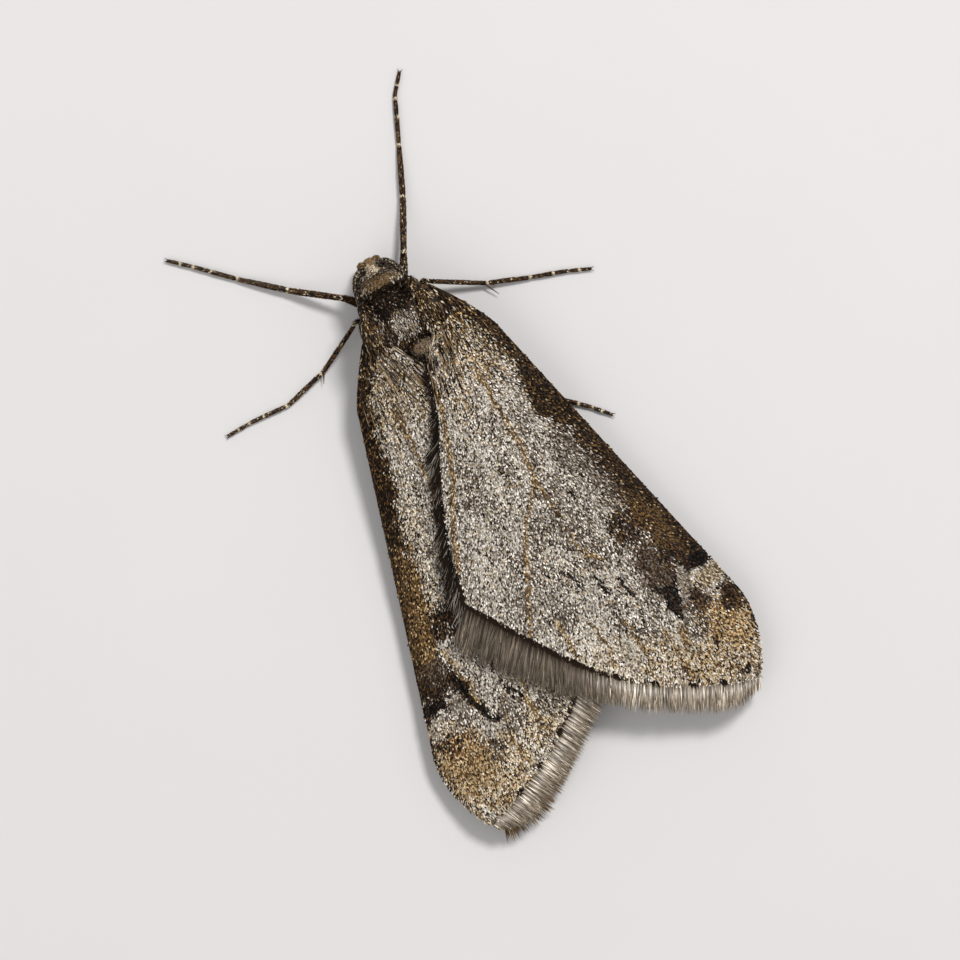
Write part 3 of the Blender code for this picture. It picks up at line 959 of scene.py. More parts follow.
MARKS = {
    Side.RIGHT: (
        Blotch(4.25, 11.5, 0.40, 1.6, Mix.COSTA_GOLD, 0.9, 15.0),
        Blotch(1.55, 9.9, 0.50, 1.2, Mix.SHADE, 0.6),
        Blotch(3.15, 13.1, 0.35, 0.80, Mix.SHADE, 0.8),
        Blotch(3.60, 12.7, 0.48, 1.1, Mix.SMOKE, 1.0, 6.0),
        Blotch(4.25, 12.6, 0.40, 0.55, Mix.UMBER, 0.8),
        Blotch(4.95, 15.3, 0.85, 0.85, Mix.RUST, 0.9),
        Blotch(3.45, 15.1, 0.22, 0.35, Mix.RUST, 0.8),
        Blotch(3.64, 13.85, 0.25, 0.54, Mix.INK, 1.0, 4.0),
        Streak(((3.32, 13.2), (3.50, 13.7), (3.66, 14.45)), 0.11, Mix.INK, 0.8),
        Streak(((3.98, 13.2), (3.82, 13.9), (3.66, 14.4)), 0.10, Mix.INK, 0.8),
        Blotch(4.36, 14.16, 0.34, 0.45, Mix.UMBER),
        Blotch(4.62, 12.95, 0.22, 0.28, Mix.UMBER, 0.8, 20.0),
        Blotch(4.26, 13.38, 0.20, 0.46, Mix.PEARL, 1.0, -8.0),
        Streak(((4.15, 13.6), (3.85, 14.2), (3.60, 14.8)), 0.05, Mix.PEARL, 0.9),
        Blotch(5.05, 13.08, 0.48, 0.28, Mix.INK, 1.0, 12.0),
        Blotch(5.05, 13.72, 0.50, 0.26, Mix.PALE, 1.0, 14.0),
        Blotch(5.35, 14.60, 0.36, 0.50, Mix.UMBER, 0.95, 5.0),
        Blotch(4.00, 14.75, 0.40, 0.50, Mix.SMOKE, 0.55),
        Blotch(2.40, 15.40, 0.75, 0.55, Mix.APEX, 0.5),
        Blotch(4.20, 15.75, 0.09, 0.30, Mix.UMBER, 0.7),
        Blotch(4.72, 17.10, 0.22, 0.16, Mix.UMBER, 0.85),
    ),
    Side.LEFT: (
        Blotch(2.95, 8.6, 0.42, 2.0, Mix.OUTER, 0.6, 15.0),
        Blotch(2.30, 6.2, 0.50, 1.2, Mix.OUTER, 0.2, 10.0),
        Blotch(3.95, 10.4, 0.42, 2.4, Mix.FLECKED, 0.95, 15.0),
        Blotch(4.30, 12.5, 0.50, 0.60, Mix.SMOKE, 0.95),
        Blotch(4.75, 15.4, 0.95, 1.0, Mix.RUST, 0.95),
        Blotch(3.22, 15.3, 0.18, 0.35, Mix.RUST, 0.75),
        Blotch(2.05, 15.4, 0.70, 0.6, Mix.BASE, 0.75),
        Streak(((3.95, 12.7), (3.72, 13.5), (3.50, 14.1)), 0.19, Mix.UMBER, 0.85),
        Streak(((3.86, 12.8), (3.66, 13.5), (3.45, 14.2), (3.30, 14.6)), 0.13, Mix.INK, 0.9),
        Streak(((3.72, 11.9), (3.56, 13.1), (3.46, 13.8)), 0.07, Mix.VEIN, 0.9),
        Blotch(4.15, 13.62, 0.30, 0.30, Mix.PEARL, 0.8),
        Blotch(4.55, 13.05, 0.40, 0.25, Mix.UMBER, 0.8),
        Blotch(4.95, 13.42, 0.55, 0.25, Mix.INK, 1.0, 8.0),
        Blotch(5.00, 14.02, 0.48, 0.24, Mix.PALE, 1.0, 8.0),
        Blotch(5.02, 13.98, 0.36, 0.16, Mix.BRIGHT, 0.5, 8.0),
        Blotch(2.80, 14.8, 0.50, 0.55, Mix.SHADE, 0.45),
        Blotch(1.35, 14.9, 0.55, 0.50, Mix.SHADE, 0.6),
        Blotch(3.70, 15.5, 0.28, 0.35, Mix.SMOKE, 0.7),
        Streak(((2.35, 13.9), (2.22, 14.25)), 0.08, Mix.INK, 0.9),
        Blotch(4.95, 14.65, 0.48, 0.36, Mix.UMBER, 0.7),
        Streak(((2.15, 14.4), (1.85, 15.3)), 0.09, Mix.VEIN, 0.85),
        Blotch(3.05, 5.9, 0.45, 0.9, Mix.UMBER, 0.85, 15.0),
        Blotch(4.30, 17.2, 0.40, 0.20, Mix.RUST, 0.6),
    ),
}
DASHES = (
    Streak(((2.40, 12.4), (2.58, 13.1)), 0.07, Mix.INK, 0.85),
    Streak(((2.48, 13.6), (2.52, 14.3)), 0.05, Mix.INK, 0.7),
    Streak(((1.72, 12.0), (1.92, 12.7)), 0.07, Mix.INK, 0.8),
    Streak(((1.02, 11.5), (1.18, 12.1)), 0.06, Mix.INK, 0.7),
    Streak(((0.30, 10.9), (0.42, 11.4)), 0.06, Mix.INK, 0.6),
    Streak(((-0.40, 10.3), (-0.34, 10.8)), 0.05, Mix.INK, 0.6),
    Streak(((-1.05, 9.7), (-1.02, 10.1)), 0.05, Mix.INK, 0.6),
    Streak(((2.3, 9.2), (2.4, 9.6)), 0.06, Mix.INK, 0.6),
    Streak(((0.6, 7.2), (0.62, 7.6)), 0.05, Mix.INK, 0.5),
    Streak(((-0.6, 4.8), (-0.68, 5.0)), 0.14, Mix.INK, 0.95),
)
TERMINAL_DOTS = (3.88, 2.93, 1.85, 0.85, -0.10, -1.05, -1.88)


class Roof:
    """The shape that the folded wings make together: outlines and heights, in millimetres."""

    INNER_START, INNER_END, APEX_SPAN = 1.10, -3.45, 0.8
    RIDGE, RIDGE_FALL, RIDGE_FROM, RIDGE_LENGTH, RIDGE_POWER = 2.32, 1.15, 4.0, 14.0, 1.6
    EAVE, EAVE_RISE, EAVE_LENGTH = 1.10, 0.75, 4.0
    ROOT_RISE, ROOT_RISE_LENGTH = 0.35, 1.5
    ROLL, ROLL_WIDTH = 0.22, 0.5
    CROSS_LIFT = 0.62
    FAN_OUT, FAN_BACK = 1.6, -1.1


@dataclass(frozen=True)
class Outline:
    """Outline of one forewing's membrane, without its fringe."""

    side: Side
    root_back: float
    costa_at_four: float
    costa_slope: float
    shoulder_end: float
    shoulder_depth: float
    shoulder_power: float
    apex_start: float
    apex_back: float
    tornus_out: float = -2.45
    tornus_back: float = 10.9
    apex_out: float = 4.80

    def costa(self, back: Array) -> Array:
        """Reach of the leading edge.

        Args:
            back: stations.

        Returns:
            The reaches.
        """
        back = np.asarray(back, float)
        reach = self.costa_at_four + self.costa_slope * (back - 4.0)
        share = (self.shoulder_end - back) / (self.shoulder_end - self.root_back)
        reach = reach - self.shoulder_depth * np.clip(share, 0.0, 1.3) ** self.shoulder_power
        return reach - 0.21 * np.clip(back - self.apex_start, 0.0, None) ** 1.8

    def eaves(self, back: Array) -> Array:
        """Reach of the leading edge, held level where it rounds the apex."""
        return self.costa(np.minimum(back, self.apex_start + Roof.APEX_SPAN))

    def margin(self, back: Array) -> Array:
        """Reach of the inner margin and then of the outer margin, negative past the midline.

        Args:
            back: stations.

        Returns:
            The reaches.
        """
        back = np.asarray(back, float)
        share = np.clip((back - 1.0) / (self.tornus_back - 1.0), 0.0, 1.0)
        inner = Roof.INNER_START + (self.tornus_out - Roof.INNER_START) * share
        inner -= 0.12 * np.sin(math.pi * np.clip((back - 1.0) / 4.2, 0.0, 1.0))
        inner -= 0.27 * np.sin(math.pi * np.clip((back - 5.2) / 5.7, 0.0, 1.0))
        if self.side is Side.LEFT:
            inner -= 0.20 * np.exp(-(((back - 3.3) / 0.6) ** 2))
        else:
            inner += 0.30 * np.exp(-(((back - 2.6) / 0.45) ** 2))
        late = np.clip((back - self.tornus_back) / (self.apex_back - self.tornus_back), 0.0, 1.0)
        outer = self.tornus_out + (self.apex_out - self.tornus_out) * (0.6 * late + 0.4 * late**5)
        return np.where(back < self.tornus_back, inner, outer)

    def termen_back(self, out: Array) -> Array:
        """Station of the outer margin at a given reach."""
        stations = np.linspace(self.tornus_back, self.apex_back, 200)
        return np.interp(out, self.margin(stations), stations)


LEFT_WING = Outline(Side.LEFT, 1.25, 2.67, 0.2767, 3.7, 0.93, 1.3, 14.8, 17.62)
RIGHT_WING = Outline(Side.RIGHT, 1.00, 2.95, 0.2644, 3.3, 0.84, 1.5, 14.5, 17.45)


def roof_height(wing: Outline, out: Array, back: Array, rolled: bool = True) -> Array:
    """Height of the lower wing's upper face.

    Args:
        wing: the wing on this side.
        out: distances from the midline.
        back: stations.
        rolled: whether the leading edge turns down.

    Returns:
        The heights.
    """
    fall = np.clip((back - Roof.RIDGE_FROM) / Roof.RIDGE_LENGTH, 0.0, 1.0) ** Roof.RIDGE_POWER
    rise = Roof.ROOT_RISE * np.exp(-(((back - 1.0) / Roof.ROOT_RISE_LENGTH) ** 2))
    ridge = Roof.RIDGE - Roof.RIDGE_FALL * fall + rise
    eave = Roof.EAVE + Roof.EAVE_RISE * np.exp(-(back - 1.0) / Roof.EAVE_LENGTH) + rise
    reach = wing.eaves(back)
    share = np.clip(np.abs(out) / reach, 0.0, 1.0)
    height = eave + np.maximum(ridge - eave, 0.0) * (1.0 - share**2)
    if rolled:
        inward = (np.abs(out) - (reach - Roof.ROLL_WIDTH)) / Roof.ROLL_WIDTH
        height = height - Roof.ROLL * ease(inward) * ease((back - 5.0) / 3.0)
    return height


@dataclass
class Wing:
    """What both wings of a side share: where the skin lies and how a piece is made."""

    side: Side
    plan: Plan
    kind: str
    squares: tuple[int, int]
    pattern: tuple[float, float, float, float]
    crowding: float = 0.0
    thickness: float = 0.09

    def __post_init__(self) -> None:
        """Look up the outlines of this side's forewing and of the other's."""
        left = self.side is Side.LEFT
        self.node = f"{self.kind}_{self.side.word}"
        self.outline, self.other = (LEFT_WING, RIGHT_WING) if left else (RIGHT_WING, LEFT_WING)
        self.root, self.tip = self.outline.root_back, self.outline.apex_back

    def height(self, out: Array, back: Array) -> Array:
        """Height of the membrane's upper face."""
        raise NotImplementedError

    def edges(self, back: Array) -> tuple[Array, Array]:
        """Inner and outer reach of the membrane."""
        raise NotImplementedError

    def tints(self, out: Array, back: Array) -> Array:
        """Colours of the membrane under its scales."""
        raise NotImplementedError

    def places(self, out: Array, back: Array, below: bool = False) -> Array:
        """Places on the membrane."""
        up = self.height(out, back) - (self.thickness if below else 0.0)
        return np.stack([self.side.value * out, back, up], axis=-1)

    def unwrap(self, out: Array, back: Array) -> Array:
        """Place on the wing's flat pattern, from 0 to 1."""
        shift, width, front, length = self.pattern
        return np.stack([(out + shift) / width, (back - front) / length], axis=-1)

    def finish(self, coat: Coat, name: str, finish: Surface = WING_SCALE) -> None:
        """Make one piece of the wing of a coat."""
        coat.piece(f"{self.node}_{name}", self.plan, finish, self.kind)

    def membrane(self) -> None:
        """The thin closed skin of the wing."""

        def lay(across: Array, along: Array) -> Array:
            """Places for shares across and along the wing.

            Args:
                across: shares across the wing.
                along: shares along it.

            Returns:
                The places.
            """
            along = along + self.crowding * along * (1.0 - along)
            back = self.root + (self.tip - self.root) * along
            inner, outer = self.edges(back)
            return self.places(inner + (outer - inner) * across, back)

        bm = thin_sheet(self.squares, self.thickness, lay)
        across, back, _ = vertex_places(bm).T
        tints = self.tints(across * self.side.value, back)
        mesh = tinted_mesh(bm, f"{self.node}_skin", self.plan, tints)
        finish_piece(mesh, WING_SKIN, self.kind, (self.node,))


@dataclass
class Forewing(Wing):
    """One forewing: thin membrane with veins, scales above and below, and its fringes."""

    kind: str = "forewing"
    squares: tuple[int, int] = (34, 150)
    pattern: tuple[float, float, float, float] = (3.8, 10.4, 0.5, 18.4)
    crowding: float = 0.25
    sunk: float = 0.12
    scale_length: float = 0.115
    scale_width: float = 0.056
    spacing: float = 0.0362
    pleats: float = 62.0
    teeth: float = 62.0

    def __post_init__(self) -> None:
        """Look up the wing's edges and the dots along its outer margin."""
        super().__post_init__()
        self.margin, self.costa = self.outline.margin, self.outline.costa
        self.dots = np.array(TERMINAL_DOTS) - (0.22 if self.side is Side.LEFT else 0.0)

    def height(self, out: Array, back: Array) -> Array:
        """Height of the membrane's upper face, pleats and veins included.

        Args:
            out: distances from the midline.
            back: stations.

        Returns:
            The heights.
        """
        near = roof_height(self.outline, out, back)
        far = roof_height(self.other, out, back, rolled=False)
        height = np.where(out >= 0.0, near, far)
        if self.side is Side.RIGHT:
            share = np.clip((back - 1.0) / 10.2, 0.0, 1.0)
            edge = -(Roof.INNER_START + (Roof.INNER_END - Roof.INNER_START) * share) + 0.25
            reach = self.outline.eaves(back)
            taper = 1.0 - 0.85 * ease((out - edge) / np.maximum(reach - edge, 0.6))
            height = height + Roof.CROSS_LIFT * ease((back - 2.0) / 1.3) * taper
            inside = ease((out - self.margin(back)) / 2.6)
            height = height - (0.34 * (1.0 - inside)) * ease((back - 2.4) / 1.5)
        angle = np.arctan2(out - Roof.FAN_OUT, back - Roof.FAN_BACK)
        grown = ease((back - 3.0) / 7.0)
        pleats = 0.022 * np.sin(angle * self.pleats) * grown
        swell = 0.035 * drift(out, back, 1.6, Seed.SWELL) * ease((back - 2.5) / 2.0)
        ribs = sum(0.028 * ease(1.0 - vein.distance(out, back) / 0.13) for vein in VEINS)
        return height - self.sunk + pleats + swell + ribs

    def edges(self, back: Array) -> tuple[Array, Array]:
        """Inner and outer reach of the membrane."""
        return self.margin(back), self.costa(back)

    def tints(self, out: Array, back: Array) -> Array:
        """Colours of the membrane under its scales."""
        return self.shares(out, back) @ PALETTE * 0.55

    def normals(self, out: Array, back: Array) -> Array:
        """Upward normals of the membrane.

        Args:
            out: distances from the midline.
            back: stations.

        Returns:
            The normals.
        """
        step = 0.04
        to_out = self.places(out + step, back) - self.places(out - step, back)
        to_back = self.places(out, back + step) - self.places(out, back - step)
        return unit(np.cross(to_out, to_back) * self.side.value)

    def lie(self, out: Array, back: Array) -> tuple[Array, Array]:
        """Direction in which scales lie, as (out, back) parts.

        Args:
            out: distances from the midline.
            back: stations.

        Returns:
            The outward and the backward parts.
        """
        fan = unit(np.stack([out - Roof.FAN_OUT, back - Roof.FAN_BACK], axis=-1))
        edge = np.array([-math.sin(TURN), math.cos(TURN)])
        near = ease(1.0 - (out - self.margin(back)) / 1.2)[..., None]
        near = near * ease((back - 10.0) / 1.5)[..., None]
        lying = unit(fan * (1.0 - near) + edge * near)
        return lying[..., 0], lying[..., 1]

    def streaks(self, out: Array, back: Array) -> Array:
        """Painted light and shade of folds fanning from the wing's root, with its mottling, about
        -1 to 1.

        Args:
            out: distances from the midline.
            back: stations.

        Returns:
            One value for each place.
        """
        angle = np.arctan2(out - Roof.FAN_OUT, back - Roof.FAN_BACK)
        far = np.hypot(out - Roof.FAN_OUT, back - Roof.FAN_BACK)
        fine = drift(angle * 30.0, far, 1.3, Seed.FAN)
        return np.clip(0.6 * fine + 0.5 * drift(out, back, 0.9, Seed.CLOUDS), -1.0, 1.0)

    def shares(self, out: Array, back: Array) -> Array:
        """Shares of the scale colours at each place.

        Args:
            out: distances from the midline.
            back: stations.

        Returns:
            One row of shares for each place.
        """
        wobble_out = out + 0.07 * drift(out, back, 0.35, Seed.OUTWARD)
        wobble_back = back + 0.10 * drift(out, back, 0.40, Seed.BACKWARD)
        shares = np.tile(Mix.DISC.shares, (len(out), 1))

        def paint(mask: Array, mix: Mix) -> None:
            """Lay one mix over the others."""
            nonlocal shares
            shares = blend(shares, mix.shares, np.clip(mask, 0.0, 1.0))

        # Grey laid along the fan: partly the wing's own clouding, partly painted shade of its
        # folds.
        clouds_and_fold_shade = 0.5 + 0.9 * self.streaks(out, back)
        paint(0.55 * clouds_and_fold_shade * ease((back - 4.0) / 2.0), Mix.SHADE)
        for shade in SHADES:
            paint(shade.mask(wobble_out, wobble_back), shade.mix)
        inward = self.costa(back) - wobble_out
        strip = 0.42 + 0.16 * ease((back - 3.0) / 3.0) + 0.18 * ease((back - 8.0) / 3.0)
        paint(ease(1.6 - inward / strip) * ease((13.3 - back) / 0.5), Mix.COSTA)
        paint(ease(1.5 - inward / 0.16) * 0.75 * ease((16.6 - back) / 0.8), Mix.UMBER)
        paint(ease(1.5 - inward / 0.20) * ease((back - 16.2) / 0.6) * 0.8, Mix.PALE)
        paint(ease((3.4 - back) / 1.7) * 0.95, Mix.SHOULDER)
        for vein in VEINS:
            paint(vein.mask(out + 0.4 * (wobble_out - out), back), vein.mix)
        for mark in MARKS[self.side]:
            paint(mark.mask(wobble_out, wobble_back), mark.mix)
        for dash in DASHES:
            paint(dash.mask(out + 0.5 * (wobble_out - out), back), dash.mix)
        line = (out - self.margin(back)) / 0.10
        paint(ease(1.6 - line) * ease((back - 9.6) / 0.6) * ease((2.2 - out) / 2.0) * 0.95, Mix.INK)
        for dot in self.dots:
            middle = float(self.outline.termen_back(np.array(dot)) - 0.10)
            paint(Blotch(dot, middle, 0.10, 0.09, Mix.INK, 0.95).mask(out, back), Mix.INK)
        return shares / shares.sum(axis=1, keepdims=True)

    def colours(self, out: Array, back: Array, dice: np.random.Generator) -> Array:
        """One random scale colour at each place.

        Args:
            out: distances from the midline.
            back: stations.
            dice: source of chance.

        Returns:
            The colours.
        """
        found = draw_tones(self.shares(out, back), dice)
        # Each scale's random brightness, plus painted light and shade of the folds along the fan.
        shade = dice.normal(0.0, 0.18, len(out)) + 0.12 * self.streaks(out, back)
        return found * np.exp(shade)[:, None]

    def lattice(self, spacing: float, dice: np.random.Generator) -> tuple[Array, Array]:
        """Jittered places all over the membrane, as (out, back).

        Args:
            spacing: distance between neighbours.
            dice: source of chance.

        Returns:
            The places' distances from the midline and their stations.
        """
        outs = np.arange(-3.0, 6.4, spacing)
        out, back = np.meshgrid(outs, np.arange(self.root, self.tip, spacing))
        out = (out + dice.uniform(-0.5, 0.5, out.shape) * spacing).ravel()
        back = (back + dice.uniform(-0.5, 0.5, back.shape) * spacing).ravel()
        held = (back > self.root) & (back < self.tip)
        held &= (out > self.margin(back) + 0.01) & (out < self.costa(back) - 0.01)
        return out[held], back[held]

    def covered(self, out: Array, back: Array) -> Array:
        """Whether the other wing hides a place well inside its edge.

        Args:
            out: distances from the midline.
            back: stations.

        Returns:
            True for each place that is hidden.
        """
        if self.side is Side.RIGHT:
            return np.zeros(len(out), bool)
        return (-out > self.other.margin(back) + 0.5) & (-out < self.other.costa(back))

    def scales(self) -> None:
        """The upper face's scales, in a front and a rear piece, and the lower face's."""
        dice = np.random.default_rng(Seed.SCALES + self.side.value)
        out, back = self.lattice(self.spacing, dice)
        kept = ~self.covered(out, back)
        out, back = out[kept], back[kept]
        sideways, shape = [1.0, 1.0, 0.0], (len(out), 3)
        along = self.side.level(*self.lie(out, back)) + dice.normal(0.0, 0.22, shape) * sideways
        normals = unit(self.normals(out, back) + dice.normal(0.0, 0.20, shape) * sideways)
        longer = 1.0 + 1.3 * ease((3.0 - back) / 1.2)
        tones = self.colours(out, back, dice)
        middle = np.median(back)
        for part, chosen in (("front", back < middle), ("rear", back >= middle)):
            count = int(chosen.sum())
            places = self.places(out[chosen], back[chosen]) + normals[chosen] * 0.004
            length = self.scale_length * longer[chosen] * dice.uniform(0.8, 1.2, count)
            width = self.scale_width * dice.uniform(0.8, 1.15, count)
            lift, droop = dice.uniform(0.06, 0.24, count), dice.uniform(0.0, 0.08, count)
            keys = same_keys(tones[chosen], 0.7, 1.05)
            spots = self.unwrap(out[chosen], back[chosen])
            coat = Coat(Blade.scale(0.22))
            sizes = (length, width)
            coat.add(places, along[chosen], normals[chosen], sizes, lift, droop, keys, spots)
            self.finish(coat, f"{part}_scales")
        out, back = self.lattice(self.spacing * 2.6, dice)
        inside = (out > self.margin(back) + 0.10) & (out < self.costa(back) - 0.14)
        out, back = out[inside], back[inside]
        count = len(out)
        places, along = self.places(out, back, below=True), self.side.level(*self.lie(out, back))
        length = self.scale_length * 1.8 * dice.uniform(0.8, 1.2, count)
        lift = dice.uniform(0.03, 0.12, count)
        tones = self.colours(out, back, dice) * 0.6 + Tone.GREY.linear * 0.3
        keys, spots = same_keys(tones, 0.8, 1.0), self.unwrap(out, back)
        sizes = (length, self.scale_width * 2.2)
        coat = Coat(Blade.scale(0.12))
        coat.add(places, along, -self.normals(out, back), sizes, lift, 0.0, keys, spots)
        self.finish(coat, "underscales")

    def edging(self) -> None:
        """Scales that wrap the leading edge and the root."""
        dice = np.random.default_rng(Seed.EDGING + self.side.value)
        back = dice.uniform(self.root, self.tip, Count.EDGE)
        back = np.append(back, dice.uniform(self.tip - 0.9, self.tip, Count.TIP_EDGE))
        out = self.costa(back)
        slope = (self.costa(back + 0.02) - self.costa(back - 0.02)) / 0.04
        outward = self.side.level(np.ones_like(slope), -slope)
        along = self.side.level(slope, np.ones_like(slope))
        added = Count.ROOT_EDGE
        front = dice.uniform(0.0, 1.0, added)
        inner, outer = self.margin(self.root) + 0.01, self.costa(self.root)
        out = np.append(out, inner + (outer - inner) * front)
        back = np.append(back, np.full(added, self.root))
        outward = np.concatenate([unit(outward), np.tile([0.0, -1.0, 0.0], (added, 1))])
        along = np.concatenate([along, np.tile([self.side.value, 0.0, 0.3], (added, 1))])
        count = len(out)
        rounding = dice.random(count)
        places = self.places(out - 0.015, back)
        places[:, 2] -= self.thickness * rounding
        outward = outward + UP * (0.9 - 1.6 * rounding)[:, None]
        length = self.scale_length * dice.uniform(1.0, 1.5, count)
        width = self.scale_width * dice.uniform(0.9, 1.3, count)
        lift = dice.uniform(0.03, 0.14, count)
        keys = same_keys(self.colours(out - 0.05, back, dice), 0.7, 1.05)
        coat = Coat(Blade.scale(0.2))
        coat.add(places, along, outward, (length, width), lift, 0.03, keys, self.unwrap(out, back))
        self.finish(coat, "edge_scales")

    def outer_fringe(self, coat: Coat, row: int, dice: np.random.Generator) -> None:
        """One row of hairs along the outer margin.

        Args:
            coat: the coat that receives them.
            row: which row, from the top one down.
            dice: source of chance.
        """
        count, corner, first = Count.OUTER_FRINGE, Count.CORNER_FRINGE, self.outline.tornus_back
        share = (np.arange(count) + dice.random(count)) / count
        back = np.append(first + share * (self.tip - first), np.linspace(16.9, self.tip, corner))
        out = self.margin(back)
        out[-corner:] += 0.22 * np.linspace(0.0, 1.0, corner) ** 2
        count = len(back)
        length = 1.02 + 0.55 * ease((1.2 - out) / 3.0) - 0.42 * ease((out - 4.1) / 0.9)
        length *= (0.58 + 0.07 * row) * dice.uniform(0.90, 1.06, count)
        waves = out * self.teeth
        tooth = np.sin(waves + 2.5 * drift(out, back, 0.5, Seed.TEETH))
        clump = 0.05 * np.cos(waves) + 0.05 * drift(out, back, 0.3, Seed.CLUMPS)
        angle = TURN + 0.26 * ease((0.4 - out) / 2.6) + clump + dice.normal(0.0, 0.03, count)
        roots = self.places(out + 0.01, back - 0.01)
        roots[:, 2] += 0.015 - 0.008 * row
        keys = np.stack([Tone.GREY.linear, Tone.SILVER.linear, Tone.TAN.linear * 0.8])
        keys = np.tile(keys, (count, 1, 1))
        draw = dice.random(count)
        keys[draw < 0.34] = np.stack([Tone.BROWN.linear, Tone.GREY.linear, Tone.BROWN.linear])
        keys[draw < 0.15] = np.stack([Tone.CREAM.linear, Tone.WHITE.linear, Tone.CREAM.linear])
        keys *= np.exp(dice.normal(-0.08, 0.25, count) + 0.6 * tooth)[:, None, None]
        dusk = np.stack([Tone.DARK.linear, Tone.GREY.linear * 0.8, Tone.GREY.linear * 0.75])
        dusk = dusk[None] * np.exp(dice.normal(-0.08, 0.55, count) + 0.35 * tooth)[:, None, None]
        shaded = ease((1.3 - out) / 1.6) * (self.side is Side.RIGHT)
        keys += (dusk - keys) * shaded[:, None, None]
        sizes = (length, dice.uniform(0.020, 0.032, count))
        lift, spots = dice.normal(0.01, 0.02, count), self.unwrap(out, back)
        coat.add(roots, self.side.heading(angle), UP, sizes, lift, 0.06, keys, spots)

    def dark_line(self, coat: Coat, dice: np.random.Generator) -> None:
        """Short dark hairs at the fringe's foot, dense at the marginal dots.

        Args:
            coat: the coat that receives them.
            dice: source of chance.
        """
        first = self.outline.tornus_back
        back = first - 0.8 + dice.random(Count.DARK_LINE) * (self.tip - first + 0.8)
        out = self.margin(back)
        gaps = np.abs(out[:, None] - self.dots[None]).min(axis=1)
        uneven = 0.55 + 0.35 * drift(out, back, 0.12, Seed.DARK_LINE)
        likely = np.maximum(uneven * ease((1.8 - out) / 1.5), ease(1.5 - gaps / 0.08))
        kept = dice.random(Count.DARK_LINE) < likely
        out, back = out[kept], back[kept]
        count = len(out)
        angle = TURN + dice.normal(0.0, 0.2, count)
        places = self.places(out + 0.06, back - 0.05) + UP * 0.03
        sizes = (dice.uniform(0.12, 0.24, count), 0.032)
        keys, spots = same_keys(Tone.DARK.linear * 0.8, 0.6, 1.3), self.unwrap(out, back)
        coat.add(places, self.side.heading(angle), UP, sizes, 0.02, 0.05, keys, spots)

    def inner_fringe(self, coat: Coat, row: int, dice: np.random.Generator) -> None:
        """One row of hairs along the inner margin.

        Args:
            coat: the coat that receives them.
            row: which row, from the top one down.
            dice: source of chance.
        """
        count, first = Count.INNER_FRINGE, self.outline.tornus_back
        share = (np.arange(count) + dice.random(count)) / count
        back = 1.5 + share * (first + 0.2 - 1.5)
        out = self.margin(np.minimum(back, first)) + 0.05
        grown = ease((back - 4.5) / 1.3)
        length = 0.28 + 0.66 * grown + 0.31 * ease((back - 8.2) / 2.4)
        length *= (0.55 + 0.09 * row) * dice.uniform(0.8, 1.15, count)
        clump = 0.22 * drift(back, back * 0.0, 0.35, Seed.TUFTS)
        angle = 1.0 - 0.25 * share + clump + dice.normal(0.0, 0.12, count)
        roots = self.places(out, back)
        roots[:, 2] += 0.02 - 0.012 * row
        keys = np.stack([Tone.BLACK.linear, Tone.BLACK.linear * 2.0, Tone.DARK.linear])
        keys = np.tile(keys, (count, 1, 1))
        pale = dice.random(count) < 0.08 + 0.33 * ease((back - 9.4) / 1.4)
        ashen = Tone.GREY.linear * [0.9, 1.0, 1.1]
        keys[pale] = np.stack([Tone.DARK.linear, ashen, Tone.SILVER.linear * 0.7])
        sizes = (length, dice.uniform(0.024, 0.038, count))
        keys = keys * np.exp(dice.normal(0.0, 0.35, (count, 1, 1)))
        along, spots = self.side.heading(angle), self.unwrap(out, back)
        coat.add(roots, along, UP, sizes, -0.05, 0.04, keys, spots)

    def fringe(self) -> None:
        """Hairs of the outer margin and of the inner margin."""
        dice = np.random.default_rng(Seed.FRINGE + self.side.value)
        coat = Coat(Blade.hair(2))
        for row in range(7):
            self.outer_fringe(coat, row, dice)
        self.dark_line(coat, dice)
        for row in range(6):
            self.inner_fringe(coat, row, dice)
        self.finish(coat, "fringe", FRINGE_HAIR)

    def base_hair(self) -> None:
        """Long hair-scales that flow from the shoulder over the wing's root."""
        dice = np.random.default_rng(Seed.BASE_HAIR + self.side.value)
        back = dice.uniform(1.3, 4.4, Count.BASE_HAIR)
        out = dice.uniform(-0.1, 2.4, Count.BASE_HAIR)
        aside = out - self.margin(back)
        inward = self.costa(back) - out
        kept = (aside > 0.05 + 0.22 * (back < 3.1)) & (inward > 0.1)
        likely = 0.75 * ease((4.6 - back) / 2.0) * ease(1.4 - aside / 1.1) + 0.12
        kept &= dice.random(Count.BASE_HAIR) < likely
        out, back = out[kept], back[kept]
        count = len(out)
        out_part, back_part = self.lie(out, back)
        along, normals = self.side.level(out_part * 0.6 - 0.08, back_part), self.normals(out, back)
        dark = tones_of(Tone.BLACK, Tone.DARK, Tone.OCHRE, Tone.TAN)
        tones = dark[dice.choice(4, count, p=[0.24, 0.34, 0.20, 0.22])]
        coat = Coat(Blade.hair(3))
        few = Count.MARGIN_HAIR
        near = np.linspace(2.3, 4.3, few) + dice.normal(0.0, 0.03, few)
        edge = self.margin(near) + dice.uniform(0.03, 0.13, few)
        steer = self.margin(near + 0.3) - self.margin(near)
        pale = tones_of(Tone.TAN, Tone.CREAM, Tone.DARK)
        places = self.places(edge, near) + UP * 0.05
        heading = self.side.level(steer, np.full(few, 0.3))
        sizes = (dice.uniform(0.4, 0.6, few), dice.uniform(0.030, 0.045, few))
        keys = same_keys(pale[dice.choice(3, few, p=[0.34, 0.14, 0.52])], 0.7, 1.0)
        spots = self.unwrap(edge, near)
        coat.add(places, heading, self.normals(edge, near), sizes, 0.04, 0.05, keys, spots)
        along = along + dice.normal(0.0, 0.10, (count, 3))
        sizes = (dice.uniform(0.35, 0.65, count), dice.uniform(0.026, 0.042, count))
        lift = dice.uniform(0.03, 0.13, count)
